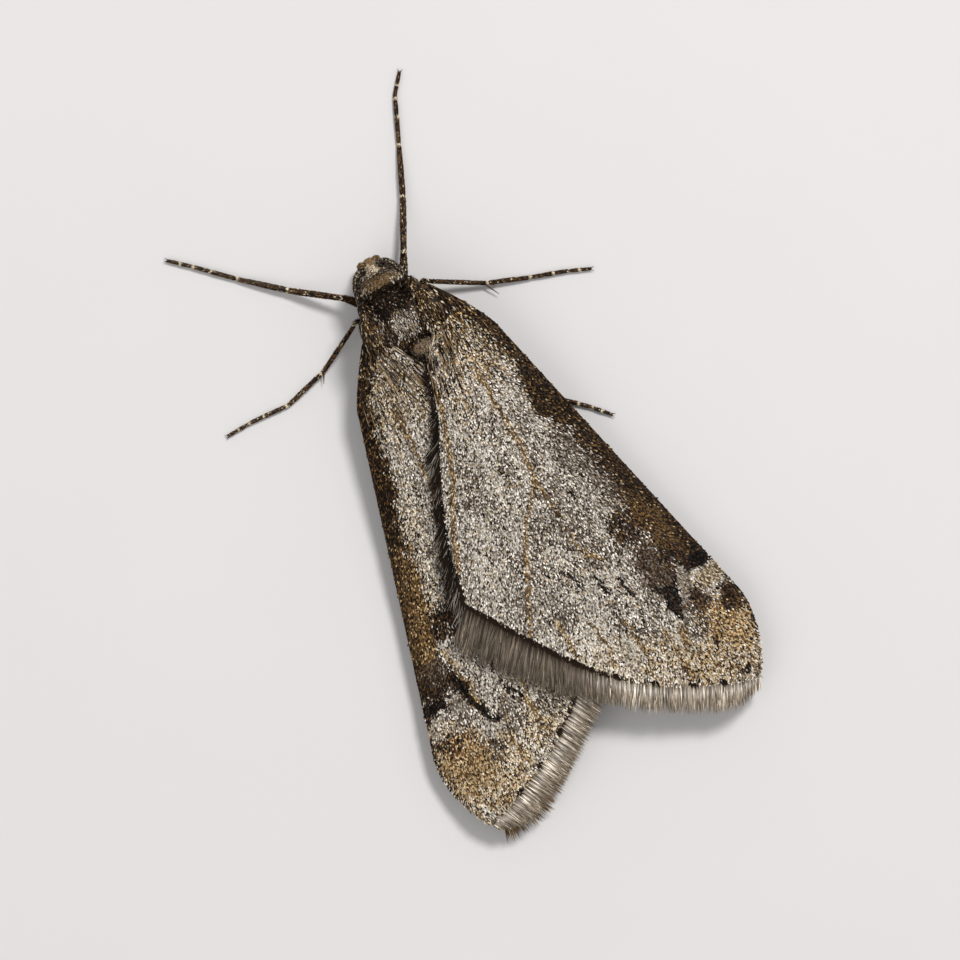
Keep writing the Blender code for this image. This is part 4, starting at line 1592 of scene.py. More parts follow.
        keys = same_keys(tones * np.exp(dice.normal(0.0, 0.25, (count, 1))), 0.6, 1.3)
        places, spots = self.places(out, back) + normals * 0.02, self.unwrap(out, back)
        coat.add(places, along, normals, sizes, lift, 0.05, keys, spots)
        self.finish(coat, "base_hair", BODY_HAIR)

    def build(self) -> None:
        """Build the whole wing."""
        self.membrane()
        self.scales()
        self.edging()
        self.fringe()
        self.base_hair()


@dataclass
class Hindwing(Wing):
    """One hindwing: thin pale membrane under the forewing, with small scales and a fringe."""

    kind: str = "hindwing"
    squares: tuple[int, int] = (20, 90)
    pattern: tuple[float, float, float, float] = (0.0, 6.4, 3.0, 16.0)
    front: float = 3.3
    inner: float = 0.97
    rear_inner: float = 0.30
    inset: float = 0.60
    narrow: float = 0.90
    drop: float = 0.10
    tornus: float = 11.2
    fringe_length: float = 0.42

    def __post_init__(self) -> None:
        """Look up how far this wing is set back from the forewing, and its tip."""
        super().__post_init__()
        left = self.side is Side.LEFT
        self.shift, self.apex, tip = (0.36, 18.22, 18.36) if left else (-0.55, 18.02, 17.43)
        self.spare = 0.12 if left else self.inset
        self.root, self.tip = self.front, tip - self.fringe_length

    def spread(self, back: Array) -> tuple[Array, Array]:
        """Inner and outer reach of the wing with its fringe.

        Args:
            back: stations.

        Returns:
            The inner and the outer reaches.
        """
        narrow = self.narrow * np.exp(-(back - 4.0) / 2.0)
        inset = self.inset + (self.spare - self.inset) * ease((back - 14.0) / 3.0)
        outer = self.outline.costa(back - max(self.shift, 0.0)) - inset - narrow
        inner = self.inner + (self.rear_inner - self.inner) * ease((back - 10.6) / 1.6)
        back = back - self.shift
        late = np.clip((back - self.tornus) / (self.apex - self.tornus), 0.0, 1.0)
        edge = Roof.INNER_END + (4.5 - Roof.INNER_END) * (0.6 * late + 0.4 * late**6)
        inner = np.maximum(inner, np.where(back < self.tornus, Roof.INNER_END, edge))
        return inner, np.maximum(outer, inner + 0.22)

    def edges(self, back: Array) -> tuple[Array, Array]:
        """Inner and outer reach of the membrane alone.

        Args:
            back: stations.

        Returns:
            The inner and the outer reaches.
        """
        inner, _ = self.spread(back + self.fringe_length * 0.9)
        _, outer = self.spread(back)
        trim = 0.14 + 0.62 * (1.0 - ease((back - 16.6) / 1.3))
        inner = inner + trim * ease((back - 10.6) / 1.6)
        outer = outer - 0.05 - 0.28 * ease((back - 16.6) / 1.6)
        return inner, np.maximum(outer, inner + 0.02)

    def height(self, out: Array, back: Array) -> Array:
        """Height of the membrane's upper face, pleats included.

        Args:
            out: distances from the midline.
            back: stations.

        Returns:
            The heights.
        """
        under = roof_height(self.outline, out, back, rolled=False) - 0.62
        under = under - self.drop * ease((back - 13.5) / 2.5)
        fan = np.arctan2(out - 1.2, back - 2.0)
        return np.maximum(under, 0.46) + 0.02 * np.sin(fan * 50.0) * ease((back - 4.0) / 4.0)

    def tints(self, out: Array, back: Array) -> Array:
        """One pale colour under the scales."""
        return Mix.HIND.shares @ PALETTE * 0.9

    def scales(self, dice: np.random.Generator) -> None:
        """The scales of both faces.

        Args:
            dice: source of chance.
        """
        coat = Coat(Blade.scale(0.12))
        back = dice.uniform(self.root, self.tip, Count.HINDWING)
        out = dice.uniform(0.2, 6.2, Count.HINDWING)
        inner, outer = self.edges(back)
        kept = (out > inner) & (out < outer)
        out, back = out[kept], back[kept]
        count = len(out)
        # Toward the tip the scales turn brown: partly their own colour, partly painted shade of the
        # forewing above.
        shaded_tip = ease((back - self.tip + 1.2) / 0.8)
        tones = draw_tones(blend(Mix.HIND.shares, Mix.HIND_TIP.shares, shaded_tip), dice)
        along, keys = self.side.level(out - 1.2, back - 2.0), same_keys(tones, 0.8, 1.0)
        for below, normal in ((False, UP), (True, -UP)):
            places, spots = self.places(out, back, below), self.unwrap(out, back)
            sizes = (0.19 * dice.uniform(0.8, 1.2, count), 0.115)
            lift = dice.uniform(0.03, 0.14, count)
            coat.add(places, along, normal, sizes, lift, 0.03, keys, spots)
        self.finish(coat, "scales")

    def fringe(self, dice: np.random.Generator) -> None:
        """Hairs of the hind margin.

        Args:
            dice: source of chance.
        """
        coat = Coat(Blade.hair(3))
        count = Count.HIND_FRINGE
        for row in range(4):
            back = np.linspace(10.9, self.tip, count) + dice.normal(0.0, 0.01, count)
            inner, outer = self.edges(back)
            close = ease((back - self.tip + 0.9) / 0.9)
            aside = dice.random(count)
            out = inner + (outer - inner) * close * aside
            angle = TURN * (1.0 - 1.7 * close * aside) + dice.normal(0.0, 0.06, count)
            # Brown hairs: partly their own colour, partly painted shade of the forewing that lies
            # over the tip.
            keys = np.stack([Tone.BROWN.linear, Tone.OCHRE.linear, Tone.TAN.linear * 0.7])
            keys = keys[None] * np.exp(dice.normal(0.0, 0.25, (count, 1, 1)))
            length = self.fringe_length * (1.0 + 0.45 * close) * (0.8 + 0.1 * row)
            sizes = (length * dice.uniform(0.9, 1.1, count), 0.045)
            places, along = self.places(out, back), self.side.heading(angle)
            coat.add(places, along, UP, sizes, -0.04, 0.05, keys, self.unwrap(out, back))
        self.finish(coat, "fringe", FRINGE_HAIR)

    def build(self) -> None:
        """Build membrane, scales and fringe."""
        dice = np.random.default_rng(Seed.HINDWING + self.side.value)
        self.membrane()
        self.scales(dice)
        self.fringe(dice)


# ---- body


@dataclass(frozen=True)
class Mass:
    """One rounded body part: its middle and its half sizes, as (x, back, up)."""

    middle: tuple[float, float, float]
    half: tuple[float, float, float]

    def depth(self, places: Array) -> Array:
        """Distance from the surface, about, and negative inside.

        Args:
            places: places on the animal, in millimetres.

        Returns:
            The distances.
        """
        offset = places - np.array(self.middle)
        half = np.array(self.half)
        near = np.linalg.norm(offset / half, axis=-1)
        steep = np.linalg.norm(offset / half**2, axis=-1)
        return near * (near - 1.0) / np.maximum(steep, 1e-9)


@dataclass(frozen=True)
class Pelt:
    """Hair of one area of the body: where, in what colours, how long, and which way."""

    where: Blotch
    length: float
    width: float
    lift: float
    toward: tuple[float, float, float] = (0.0, 1.0, 0.0)
    above: float = 0.0


PELTS = (
    Pelt(Blotch(0.0, 1.6, 2.0, 1.9, Mix.MANTLE), 0.16, 0.046, 0.18),
    Pelt(Blotch(1.08, 1.55, 0.40, 0.95, Mix.SHOULDER), 0.19, 0.044, 0.14),
    Pelt(Blotch(-1.08, 1.55, 0.40, 0.95, Mix.SHOULDER), 0.19, 0.044, 0.14),
    Pelt(Blotch(0.05, 0.95, 0.85, 0.50, Mix.PITCH), 0.15, 0.045, 0.2, above=1.6),
    Pelt(Blotch(-0.14, 1.86, 0.44, 0.50, Mix.POWDER), 0.15, 0.042, 0.22, above=1.9),
    Pelt(Blotch(0.60, 1.65, 0.12, 0.45, Mix.POWDER, 0.8), 0.16, 0.04, 0.2, above=1.9),
    Pelt(Blotch(0.36, 1.30, 0.12, 0.30, Mix.PITCH), 0.15, 0.045, 0.2, above=1.9),
    Pelt(Blotch(-0.24, 2.84, 0.62, 0.50, Mix.PITCH), 0.14, 0.044, 0.12, above=1.6),
    Pelt(Blotch(-0.29, 2.81, 0.39, 0.27, Mix.KNOB), 0.10, 0.040, 0.05, above=2.0),
    Pelt(Blotch(-0.03, 0.26, 0.58, 0.18, Mix.COLLAR), 0.13, 0.040, 0.08, above=1.5),
    Pelt(Blotch(0.50, 0.30, 0.16, 0.10, Mix.CROWN, 0.6), 0.12, 0.040, 0.08, above=1.3),
    Pelt(Blotch(-0.52, 0.30, 0.16, 0.10, Mix.CROWN, 0.6), 0.12, 0.040, 0.08, above=1.3),
    Pelt(Blotch(-0.04, -0.03, 0.6, 0.035, Mix.PITCH, 0.8), 0.07, 0.040, 0.1, above=1.4),
    Pelt(Blotch(-0.05, -0.19, 0.38, 0.17, Mix.CROWN), 0.09, 0.04, 0.12, (0.0, -1.0, 0.2), 1.3),
    Pelt(Blotch(-0.02, -0.48, 0.25, 0.20, Mix.BROW), 0.22, 0.04, 0.7, (0.0, -1.0, 0.1), 0.9),
)

PALP = ((0.20, -0.20, 1.20), (0.26, -0.38, 0.92), (0.27, -0.44, 0.68))
FEELER = (
    (0.26, -0.24, 1.76), (0.46, -0.27, 1.90), (0.68, -0.08, 1.86),
    (0.80, 0.20, 1.76), (0.86, 0.55, 1.62), (1.00, 1.00, 1.42),
    (1.30, 1.80, 1.24), (1.50, 3.00, 1.10), (1.84, 4.26, 1.04),
)


class LegKind(Enum):
    """Heights of a leg's joints above the floor, from the hip on, and how thick it is at each."""

    FORELEG = (
        (1.20, 0.50, 0.80, 0.26, 0.12, 0.11, 0.10),
        (0.20, 0.13, 0.085, 0.095, 0.066, 0.060, 0.045),
    )
    MIDLEG = (
        (1.20, 0.50, 0.74, 0.26, 0.12, 0.11, 0.10),
        (0.20, 0.12, 0.055, 0.062, 0.060, 0.055, 0.042),
    )
    HINDLEG = (
        (1.20, 0.50, 0.56, 0.24, 0.12, 0.11, 0.10),
        (0.20, 0.14, 0.075, 0.075, 0.062, 0.055, 0.042),
    )


@dataclass(frozen=True)
class LegForm:
    """One leg: where its joints stand as (x, back), on the left side or mirrored, and its spurs.

    The shank runs from the hip to the heel, and the foot from there to the claw.
    """

    kind: LegKind
    shank: tuple[tuple[float, float], ...]
    foot: tuple[tuple[float, float], ...]
    spurs: int = 2
    spur_length: float = 0.55

    @property
    def name(self) -> str:
        """The leg's name as the solids have it."""
        return self.kind.name.lower()

    @property
    def radii(self) -> tuple[float, ...]:
        """Radius at each joint."""
        return self.kind.value[1]

    @property
    def joints(self) -> Array:
        """Places of the joints, before they are mirrored to the right side."""
        return np.column_stack([self.shank + self.foot, self.kind.value[0]])


LEGS = {
    Side.LEFT: (
        LegForm(
            LegKind.FORELEG,
            ((0.36, 1.20), (0.55, 0.92), (1.22, 0.22), (2.71, -0.87)),
            ((4.02, -1.99), (5.16, -3.06), (5.80, -3.62)),
            spurs=0,
        ),
        LegForm(
            LegKind.MIDLEG,
            ((0.36, 2.05), (0.60, 2.00), (1.20, 1.04), (2.96, 1.98)),
            ((4.50, 2.42), (5.87, 2.35), (6.69, 2.39)),
            spur_length=0.42,
        ),
        LegForm(
            LegKind.HINDLEG,
            ((0.38, 2.72), (0.64, 2.82), (1.36, 3.34), (2.02, 5.30)),
            ((2.40, 6.80), (2.66, 7.66), (2.84, 8.34)),
        ),
    ),
    Side.RIGHT: (
        LegForm(
            LegKind.FORELEG,
            ((0.36, 1.20), (0.53, 0.94), (1.13, -0.14), (1.98, -1.82)),
            ((2.68, -3.43), (3.33, -4.95), (3.80, -5.54)),
            spurs=0,
        ),
        LegForm(
            LegKind.MIDLEG,
            ((0.36, 2.05), (0.60, 2.00), (1.26, 0.87), (3.03, 1.87)),
            ((4.39, 2.38), (5.60, 2.77), (6.33, 3.07)),
            spur_length=0.62,
        ),
        LegForm(
            LegKind.HINDLEG,
            ((0.38, 2.72), (0.64, 2.82), (1.36, 3.34), (2.62, 5.20)),
            ((3.50, 6.42), (4.20, 7.05), (4.73, 7.62)),
        ),
    ),
}


@dataclass(frozen=True)
class Abdomen:
    """The ringed abdomen, which tapers toward the tail."""

    front: float = 3.12
    length: float = 7.78
    rings: float = 8.0
    tail: float = 10.86

    def share(self, back: Array) -> Array:
        """How far along the abdomen a station is, from 0 to 1 inside it."""
        return (back - self.front) / self.length

    def depth(self, places: Array) -> Array:
        """Distance from the surface, negative inside.

        Args:
            places: places on the animal, in millimetres.

        Returns:
            The distances.
        """
        back = places[..., 1]
        share = np.clip(self.share(back), 0.0, 1.0)
        swell = np.clip(np.sin(math.pi * (0.30 + 0.5 * share)) ** 0.8 * 1.04, 0.0, 1.0)
        radius = 0.24 + 0.40 * swell * (1.0 - ease((share - 0.45) / 0.75) * 0.85)
        radius *= np.sqrt(np.clip((self.tail - back) / 0.5, 0.0, 1.0))
        radius -= 0.035 * (0.5 + 0.5 * np.cos(FULL_TURN * self.rings * share)) ** 6
        height = 0.92 - 0.20 * ease(share)
        around = np.hypot(places[..., 0], (places[..., 2] - height) / 0.92)
        return np.maximum(around - radius, 2.9 - back)


@dataclass
class Body:
    """Head, thorax, abdomen, palps and legs under one skin, with hair and scales over it."""

    plan: Plan
    rings: int = 230
    around: int = 64
    blend: float = 0.045
    front: float = -0.44
    rear: float = 10.82
    abdomen: Abdomen = Abdomen()
    foot_shares: tuple[float, ...] = (0.0, 0.42, 0.645, 0.79, 0.90)
    masses: tuple[Mass, ...] = (
        Mass((0.0, -0.06, 1.42), (0.47, 0.37, 0.43)),
        Mass((0.0, 0.35, 1.50), (0.50, 0.60, 0.52)),
        Mass((0.34, 0.06, 1.27), (0.30, 0.30, 0.36)),
        Mass((-0.34, 0.06, 1.27), (0.30, 0.30, 0.36)),
        Mass((-0.35, 3.05, 2.00), (0.45, 0.55, 0.36)),
        Mass((-0.60, 3.95, 1.78), (0.55, 1.00, 0.42)),
        Mass((0.0, 0.28, 1.86), (0.58, 0.24, 0.44)),
        Mass((0.02, 1.62, 1.82), (0.88, 1.20, 0.98)),
        Mass((0.0, 1.95, 1.45), (0.80, 1.45, 0.72)),
        Mass((0.0, 0.42, 1.60), (0.82, 0.50, 0.46)),
        Mass((0.80, 1.10, 2.22), (0.26, 0.48, 0.32)),
        Mass((-0.86, 1.05, 2.22), (0.28, 0.50, 0.32)),
        Mass((1.02, 1.70, 2.40), (0.30, 0.55, 0.26)),
        Mass((-1.08, 1.65, 2.40), (0.32, 0.58, 0.26)),
        Mass((-0.29, 2.78, 2.42), (0.43, 0.37, 0.32)),
        Mass((0.0, 3.10, 1.20), (0.62, 0.90, 0.62)),
        Mass((0.0, 3.00, 1.78), (0.48, 0.72, 0.54)),
    )

    def spine(self, back: Array) -> Array:
        """Places of the inner line from which the skin is measured.

        Args:
            back: stations.

        Returns:
            The places.
        """
        marks = (-0.6, 0.0, 0.5, 1.6, 2.8, 3.8, 10.9)
        up = np.interp(back, marks, (1.38, 1.45, 1.66, 1.82, 1.55, 0.95, 0.76))
        return np.stack([np.zeros_like(back), back, up], axis=-1)

    def depth(self, places: Array) -> Array:
        """Distance from the whole blended surface, about, and negative inside.

        Args:
            places: places on the animal, in millimetres.

        Returns:
            The distances.
        """
        depths = [part.depth(places) for part in (*self.masses, self.abdomen)]
        weights = sum(np.exp(-np.clip(depth, -2.0, 2.0) / self.blend) for depth in depths)
        return -self.blend * np.log(weights)

    def reach(self, back: Array, turn: Array) -> Array:
        """Places where rays from the inner line leave the body.

        Args:
            back: stations.
            turn: angles round the line, from straight up.

        Returns:
            The places.
        """
        start = self.spine(back)
        ray = np.stack([np.sin(turn), np.zeros_like(turn), np.cos(turn)], axis=-1)
        steps = np.linspace(0.0, 1.7, 90)
        inside = np.stack([self.depth(start + ray * step) for step in steps], axis=-1)
        under = inside < 0.0
        last = len(steps) - 1 - np.argmax(under[..., ::-1], axis=-1)
        last = np.clip(np.where(under.any(axis=-1), last, 0), 0, len(steps) - 2)
        a = np.take_along_axis(inside, last[..., None], -1)[..., 0]
        b = np.take_along_axis(inside, last[..., None] + 1, -1)[..., 0]
        part = np.clip(a / np.where(np.abs(a - b) < 1e-9, 1.0, a - b), 0.0, 1.0)
        far = (steps[last] + part * (steps[1] - steps[0])) * under.any(axis=-1)
        return start + ray * far[..., None]

    def normals(self, places: Array) -> Array:
        """Outward normals near the surface.

        Args:
            places: places on the animal, in millimetres.

        Returns:
            The normals.
        """
        step = 0.03
        axes = np.eye(3) * step
        slopes = [self.depth(places + axis) - self.depth(places - axis) for axis in axes]
        return unit(np.stack(slopes, axis=-1))

    def trunk(self, bm: bmesh.types.BMesh) -> None:
        """Add the closed skin of head, thorax and abdomen to a bmesh.

        Args:
            bm: the bmesh that receives it.
        """
        bmesh.ops.create_grid(bm, x_segments=self.around, y_segments=self.rings, size=0.5)
        spots = vertex_places(bm)
        share = spots[:, 1] + 0.5
        share = share - 0.10 * np.sin(FULL_TURN * share)
        share = 0.72 * share**1.8 + 0.28 * share
        back = self.front + (self.rear - self.front) * share
        set_places(bm, self.reach(back, (spots[:, 0] + 0.5) * FULL_TURN))
        bmesh.ops.remove_doubles(bm, verts=bm.verts, dist=0.002)
        bmesh.ops.dissolve_degenerate(bm, edges=bm.edges, dist=0.0005)
        for _ in range(3):
            bmesh.ops.smooth_vert(bm, verts=bm.verts, factor=0.5)
        bmesh.ops.holes_fill(bm, edges=bm.edges, sides=0)

    def leg_limb(self, side: Side, form: LegForm) -> Limb:
        """The leg as one limb from hip to claw.

        Args:
            side: which side.
            form: the form of its pair.

        Returns:
            The limb.
        """
        joints = side.mirror(form.joints)
        marks = np.concatenate([[0.0], np.cumsum(np.linalg.norm(np.diff(joints, axis=0), axis=1))])
        stations, widths = [], []
        for here, there, first, last in zip(marks, marks[1:], form.radii, form.radii[1:]):
            stations += [here, (here + there) / 2.0]
            widths += [first, (first + last) / 2.0 + 0.012]
        widths[3] += 0.02
        stations += [marks[-1]]
        widths += [form.radii[-1]]

        def radius_at(mark: float) -> float:
            """Radius at a distance along the leg, pinched where the foot is ringed.

            Args:
                mark: distance along the limb.

            Returns:
                The radius.
            """
            wide = float(np.interp(mark, stations, widths))
            share = (mark - marks[3]) / (marks[-1] - marks[3])
            for ring in self.foot_shares:
                wide *= 1.0 - 0.16 * math.exp(-(((share - ring) / 0.012) ** 2))
            return wide

        return Limb.through(joints, radius_at, bend=0.12, step=0.05, sides=12)

    def palp_limb(self, side: Side) -> Limb:
        """One palp, bent forward under the face.

        Args:
            side: which side.

        Returns:
            The limb.
        """
        return Limb.through(
            side.mirror(PALP), lambda mark: 0.085 - 0.05 * mark**2, bend=0.1, step=0.04, sides=10
        )

    def limbs(self) -> list[tuple[Side, LegForm, Limb]]:
        """All six legs."""
        return [(side, form, self.leg_limb(side, form)) for side in Side for form in LEGS[side]]

    def hair_rules(self, places: Array) -> tuple[Array, Array, Array]:
        """Colour shares, hair sizes and directions at places on the trunk.

        Args:
            places: places on the animal, in millimetres.

        Returns:
            The shares, the sizes and the directions.
        """
        count = len(places)
        x, back, up = places.T
        shares = np.tile(Mix.BELLY.shares, (count, 1))
        sizes = np.tile([0.20, 0.045, 0.20], (count, 1))
        toward = np.tile([0.0, 1.0, 0.0], (count, 1))
        for pelt in PELTS:
            cover = pelt.where.mask(x + 0.05 * drift(x, back, 0.3, Seed.PELTS), back)
            cover = cover * ease((up - pelt.above) / 0.25 + 0.5)
            shares = blend(shares, pelt.where.mix.shares, cover)
            sizes = blend(sizes, np.array([pelt.length, pelt.width, pelt.lift]), cover)
            toward = blend(toward, np.array(pelt.toward), cover)
        ringed = ease((back - 3.3) / 0.3)
        ring = self.abdomen.rings * (back - self.abdomen.front) / self.abdomen.length
        pale = ((0.5 + 0.5 * np.cos(FULL_TURN * (ring - 0.10))) ** 8)[:, None]
        belly = Mix.BELLY.shares * (1.0 - 0.6 * pale) + Mix.PALE.shares * 0.6 * pale
        shares = blend(shares, belly, ringed)
        return shares, blend(sizes, np.array([0.17, 0.075, 0.13]), ringed), toward

    def skin(self) -> None:
        """The one skin of the soft parts."""
        bm = bmesh.new()
        self.trunk(bm)
        trunk_count = len(bm.verts)
        self.corners = np.array(
            [[tuple(loop.vert.co) for loop in loops] for loops in bm.calc_loop_triangles()]
        )
        nodes = ["head", "collar", "thorax", "abdomen"]
        for side in Side:
            self.palp_limb(side).build(bm)
            nodes += [f"palp_{side.word}", f"tegula_{side.word}"]
        for side, form, limb in self.limbs():
            limb.build(bm)
            parts = ("coxa", "femur", "tibia", "tarsus")
            nodes += [f"{form.name}_{side.word}_{part}" for part in parts]
        bmesh.ops.recalc_face_normals(bm, faces=bm.faces)
        tints = self.hair_rules(vertex_places(bm))[0] @ PALETTE * 0.28
        tints[trunk_count:] = Tone.DARK.linear * 0.8
        mesh = tinted_mesh(bm, "body_skin", self.plan, tints)
        finish_piece(mesh, BODY_SKIN, "thorax", tuple(nodes))

    def scatter(
        self, first: float, last: float, count: int, dice: np.random.Generator
    ) -> tuple[Array, Array]:
        """Random places on the trunk between two stations, even over its surface.

        Args:
            first: front station.
            last: rear station.
            count: number of places.
            dice: source of chance.

        Returns:
            The places and the outward normals there.
        """
        corners = self.corners
        middle = corners[:, :, 1].mean(axis=1)
        corners = corners[(middle > first) & (middle < last)]
        facing = np.cross(corners[:, 1] - corners[:, 0], corners[:, 2] - corners[:, 0])
        centres = corners.mean(axis=1)
        outward = np.sum(facing * (centres - self.spine(centres[:, 1])), axis=1, keepdims=True)
        size = np.linalg.norm(facing, axis=1)
        drawn = dice.choice(len(corners), count, p=size / size.sum())
        one, two = np.sqrt(dice.random(count)), dice.random(count)
        parts = np.stack([1.0 - one, one * (1.0 - two), one * two], axis=1)
        places = np.einsum("nk,nkc->nc", parts, corners[drawn])
        return places, unit(unit(facing * np.sign(outward))[drawn] + 0.5 * self.normals(places))

    def unwrap(self, places: Array) -> Array:
        """Place on the trunk's flat pattern, from 0 to 1.

        Args:
            places: places on the animal, in millimetres.

        Returns:
            The places on the pattern.
        """
        middle = self.spine(places[:, 1])
        turn = np.arctan2(places[:, 0] - middle[:, 0], places[:, 2] - middle[:, 2])
        return np.stack([turn / FULL_TURN + 0.5, (places[:, 1] + 0.5) / 11.5], axis=-1)
    def trunk_coat(self) -> None:
        """Scales of head, thorax and abdomen."""
        dice = np.random.default_rng(Seed.TRUNK)
        for part, first, last, count in (
            ("thorax", 0.0, 3.7, Count.THORAX),
            ("head", -0.44, 0.0, Count.HEAD),
            ("abdomen", 3.7, 10.8, Count.ABDOMEN),
        ):
            places, normals = self.scatter(first, last, count, dice)
            shares, sizes, toward = self.hair_rules(places)
            tones = draw_tones(shares, dice) * np.exp(dice.normal(0.0, 0.2, count))[:, None]
            length, width, lift = sizes.T
            toward = toward + dice.normal(0.0, 0.20, (count, 3)) * [1.0, 0.3, 1.0]
            heading = unit(toward - normals * np.sum(toward * normals, axis=1, keepdims=True))
            length = length * dice.uniform(0.75, 1.2, count)
            rise = self.depth(places) - self.depth(places + heading * length[:, None])
            slope = np.clip(rise / length, -0.8, 0.9)
            width = width * dice.uniform(0.8, 1.2, count)
            lift = lift * dice.uniform(0.3, 1.0, count) + np.where(rise < 0.0, 0.2, 1.0) * slope
            roots, keys = places - normals * 0.006, same_keys(tones, 0.45, 1.15)
            coat = Coat(Blade.scale(0.3))
            sizes, spots = (length, width), self.unwrap(places)
            coat.add(roots, heading, normals, sizes, lift, 0.02, keys, spots)
            coat.piece(f"{part}_coat", self.plan, BODY_HAIR, part)

    def leg_coat(self) -> None:
        """Scales of all legs and palps, with pale rings on the feet."""
        dice = np.random.default_rng(Seed.LEGS)
        coat = Coat(Blade.scale(0.25))
        for row, (_, form, limb) in enumerate(self.limbs()):
            joints = np.linalg.norm(np.diff(form.joints, axis=0), axis=1)
            knee, foot, claw = joints[:2].sum(), joints[:3].sum(), limb.distances[-1]
            count = Count.LEG
            along, turn, places, normals, heading = limb.sow(joints[0] * 0.35, count, dice)
            share = (along - foot) / (claw - foot)
            tones = np.tile(Tone.BLACK.linear, (count, 1))
            draw = dice.random(count)
            tones[draw < 0.68] = Tone.DARK.linear
            tones[draw < 0.36] = Tone.SIENNA.linear * 0.7
            tones[draw < 0.14] = Tone.OCHRE.linear
            tones[draw < 0.04] = Tone.CREAM.linear
            for ring in self.foot_shares:
                near = np.abs(share - ring + 0.012) * (claw - foot) < 0.045
                tones[near & (draw < 0.8)] = Tone.CREAM.linear
            tones[(np.abs(along - knee) < 0.05) & (draw < 0.5)] = Tone.CREAM.linear
            fine = np.interp(along, [0.0, foot, claw], [1.5, 1.1, 0.8])
            spots = np.stack([turn / FULL_TURN, (row + along / claw) / 8.0], axis=-1)
            heading = heading + dice.normal(0.0, 0.15, (count, 3))
            sizes = (0.10 * fine * dice.uniform(0.8, 1.2, count), 0.038 * fine)
            lift = dice.uniform(0.06, 0.22, count)
            keys = same_keys(tones * np.exp(dice.normal(0.0, 0.2, (count, 1))), 0.6, 1.1)
            roots = places - normals * 0.006
            coat.add(roots, heading, normals, sizes, lift, 0.05, keys, spots)
        for row, side in enumerate(Side):
            count = Count.PALP
            along, turn, places, normals, heading = self.palp_limb(side).sow(0.0, count, dice)
            tones = np.tile(Tone.OCHRE.linear, (count, 1)) * 0.8
            tones[dice.random(count) < 0.3] = Tone.DARK.linear
            heading = heading + dice.normal(0.0, 0.2, (count, 3))
            sizes = (0.17 * dice.uniform(0.8, 1.2, count), 0.06)
            lift, keys = dice.uniform(0.15, 0.5, count), same_keys(tones, 0.6, 1.1)
            spots = np.stack([turn / FULL_TURN, (7.0 + row + along) / 9.0], axis=-1)
            coat.add(places, heading, normals, sizes, lift, 0.05, keys, spots)
        coat.piece("leg_scales", self.plan, LEG_SCALE, "leg")

    @staticmethod
    def claw_radius(mark: float) -> float:
        """Radius of a claw at a distance along it."""
        return max(0.026 - 0.11 * mark, 0.005)

    def claws(self) -> None:
        """Paired claws at the feet and spurs at the shins."""
        bm = bmesh.new()
        for side, form, limb in self.limbs():
            heading, level, _ = limb.frames()
            tip, ahead, across = limb.path[-1], heading[-1], level[-1]
            for turn in (-1.0, 1.0):
                bend = tip + ahead * 0.09 + across * turn * 0.055 + UP * 0.012
                point = tip + ahead * 0.155 + across * turn * 0.075 - UP * 0.045
                joints = np.array([tip - ahead * 0.03, bend, point])
                Limb.through(joints, self.claw_radius, bend=0.05, step=0.02, sides=8).build(bm)
            foot = side.mirror(form.joints[3])
            for spur in range(form.spurs):
                lean = TURN + 0.45 * spur
                way = side.mirror((math.sin(lean), math.cos(lean), -0.12))
                reach = form.spur_length * (1.0 - 0.35 * spur)

                def radius_at(mark: float, reach: float = reach) -> float:
                    """Radius at a distance along the spur."""
                    return 0.034 * (1.0 - 0.8 * mark / reach) + 0.002

                joints = np.array([foot, foot + way * reach * 0.5, foot + way * reach])
                Limb.through(joints, radius_at, bend=0.05, step=0.04, sides=8).build(bm)
        bmesh.ops.recalc_face_normals(bm, faces=bm.faces)
        mesh = tinted_mesh(bm, "claws", self.plan, Tone.BROWN.linear * 0.8)
        finish_piece(mesh, HORN, "leg")

    def eyes(self) -> None:
        """The two domed eyes."""
        for side in Side:
            node = f"eye_{side.word}"
            bm = bmesh.new()
            bmesh.ops.create_uvsphere(bm, u_segments=48, v_segments=28, radius=1.0)
            places = vertex_places(bm) * [0.31, 0.31, 0.34]
            set_places(bm, places + side.mirror((0.40, -0.08, 1.29)))
            mesh = tinted_mesh(bm, f"{node}_lens", self.plan, Tone.BLACK.linear)
            finish_piece(mesh, EYE_LENS, "eye", (node,))

    def feelers(self) -> None:
        """Ringed feelers laid back along the head and under the wings, with their scales."""
        dice = np.random.default_rng(Seed.FEELERS)
        ring = 0.10

        def radius_at(mark: float) -> float:
            """Radius at a distance along, thick at the base and ringed beyond it.

            Args:
                mark: distance along the limb.

            Returns:
                The radius.
            """
            base = 0.05 * math.exp(-((mark / 0.16) ** 2))
            ripple = 0.006 * math.cos(FULL_TURN * mark / ring)
            return 0.098 - 0.0100 * mark + base * 0.6 + ripple

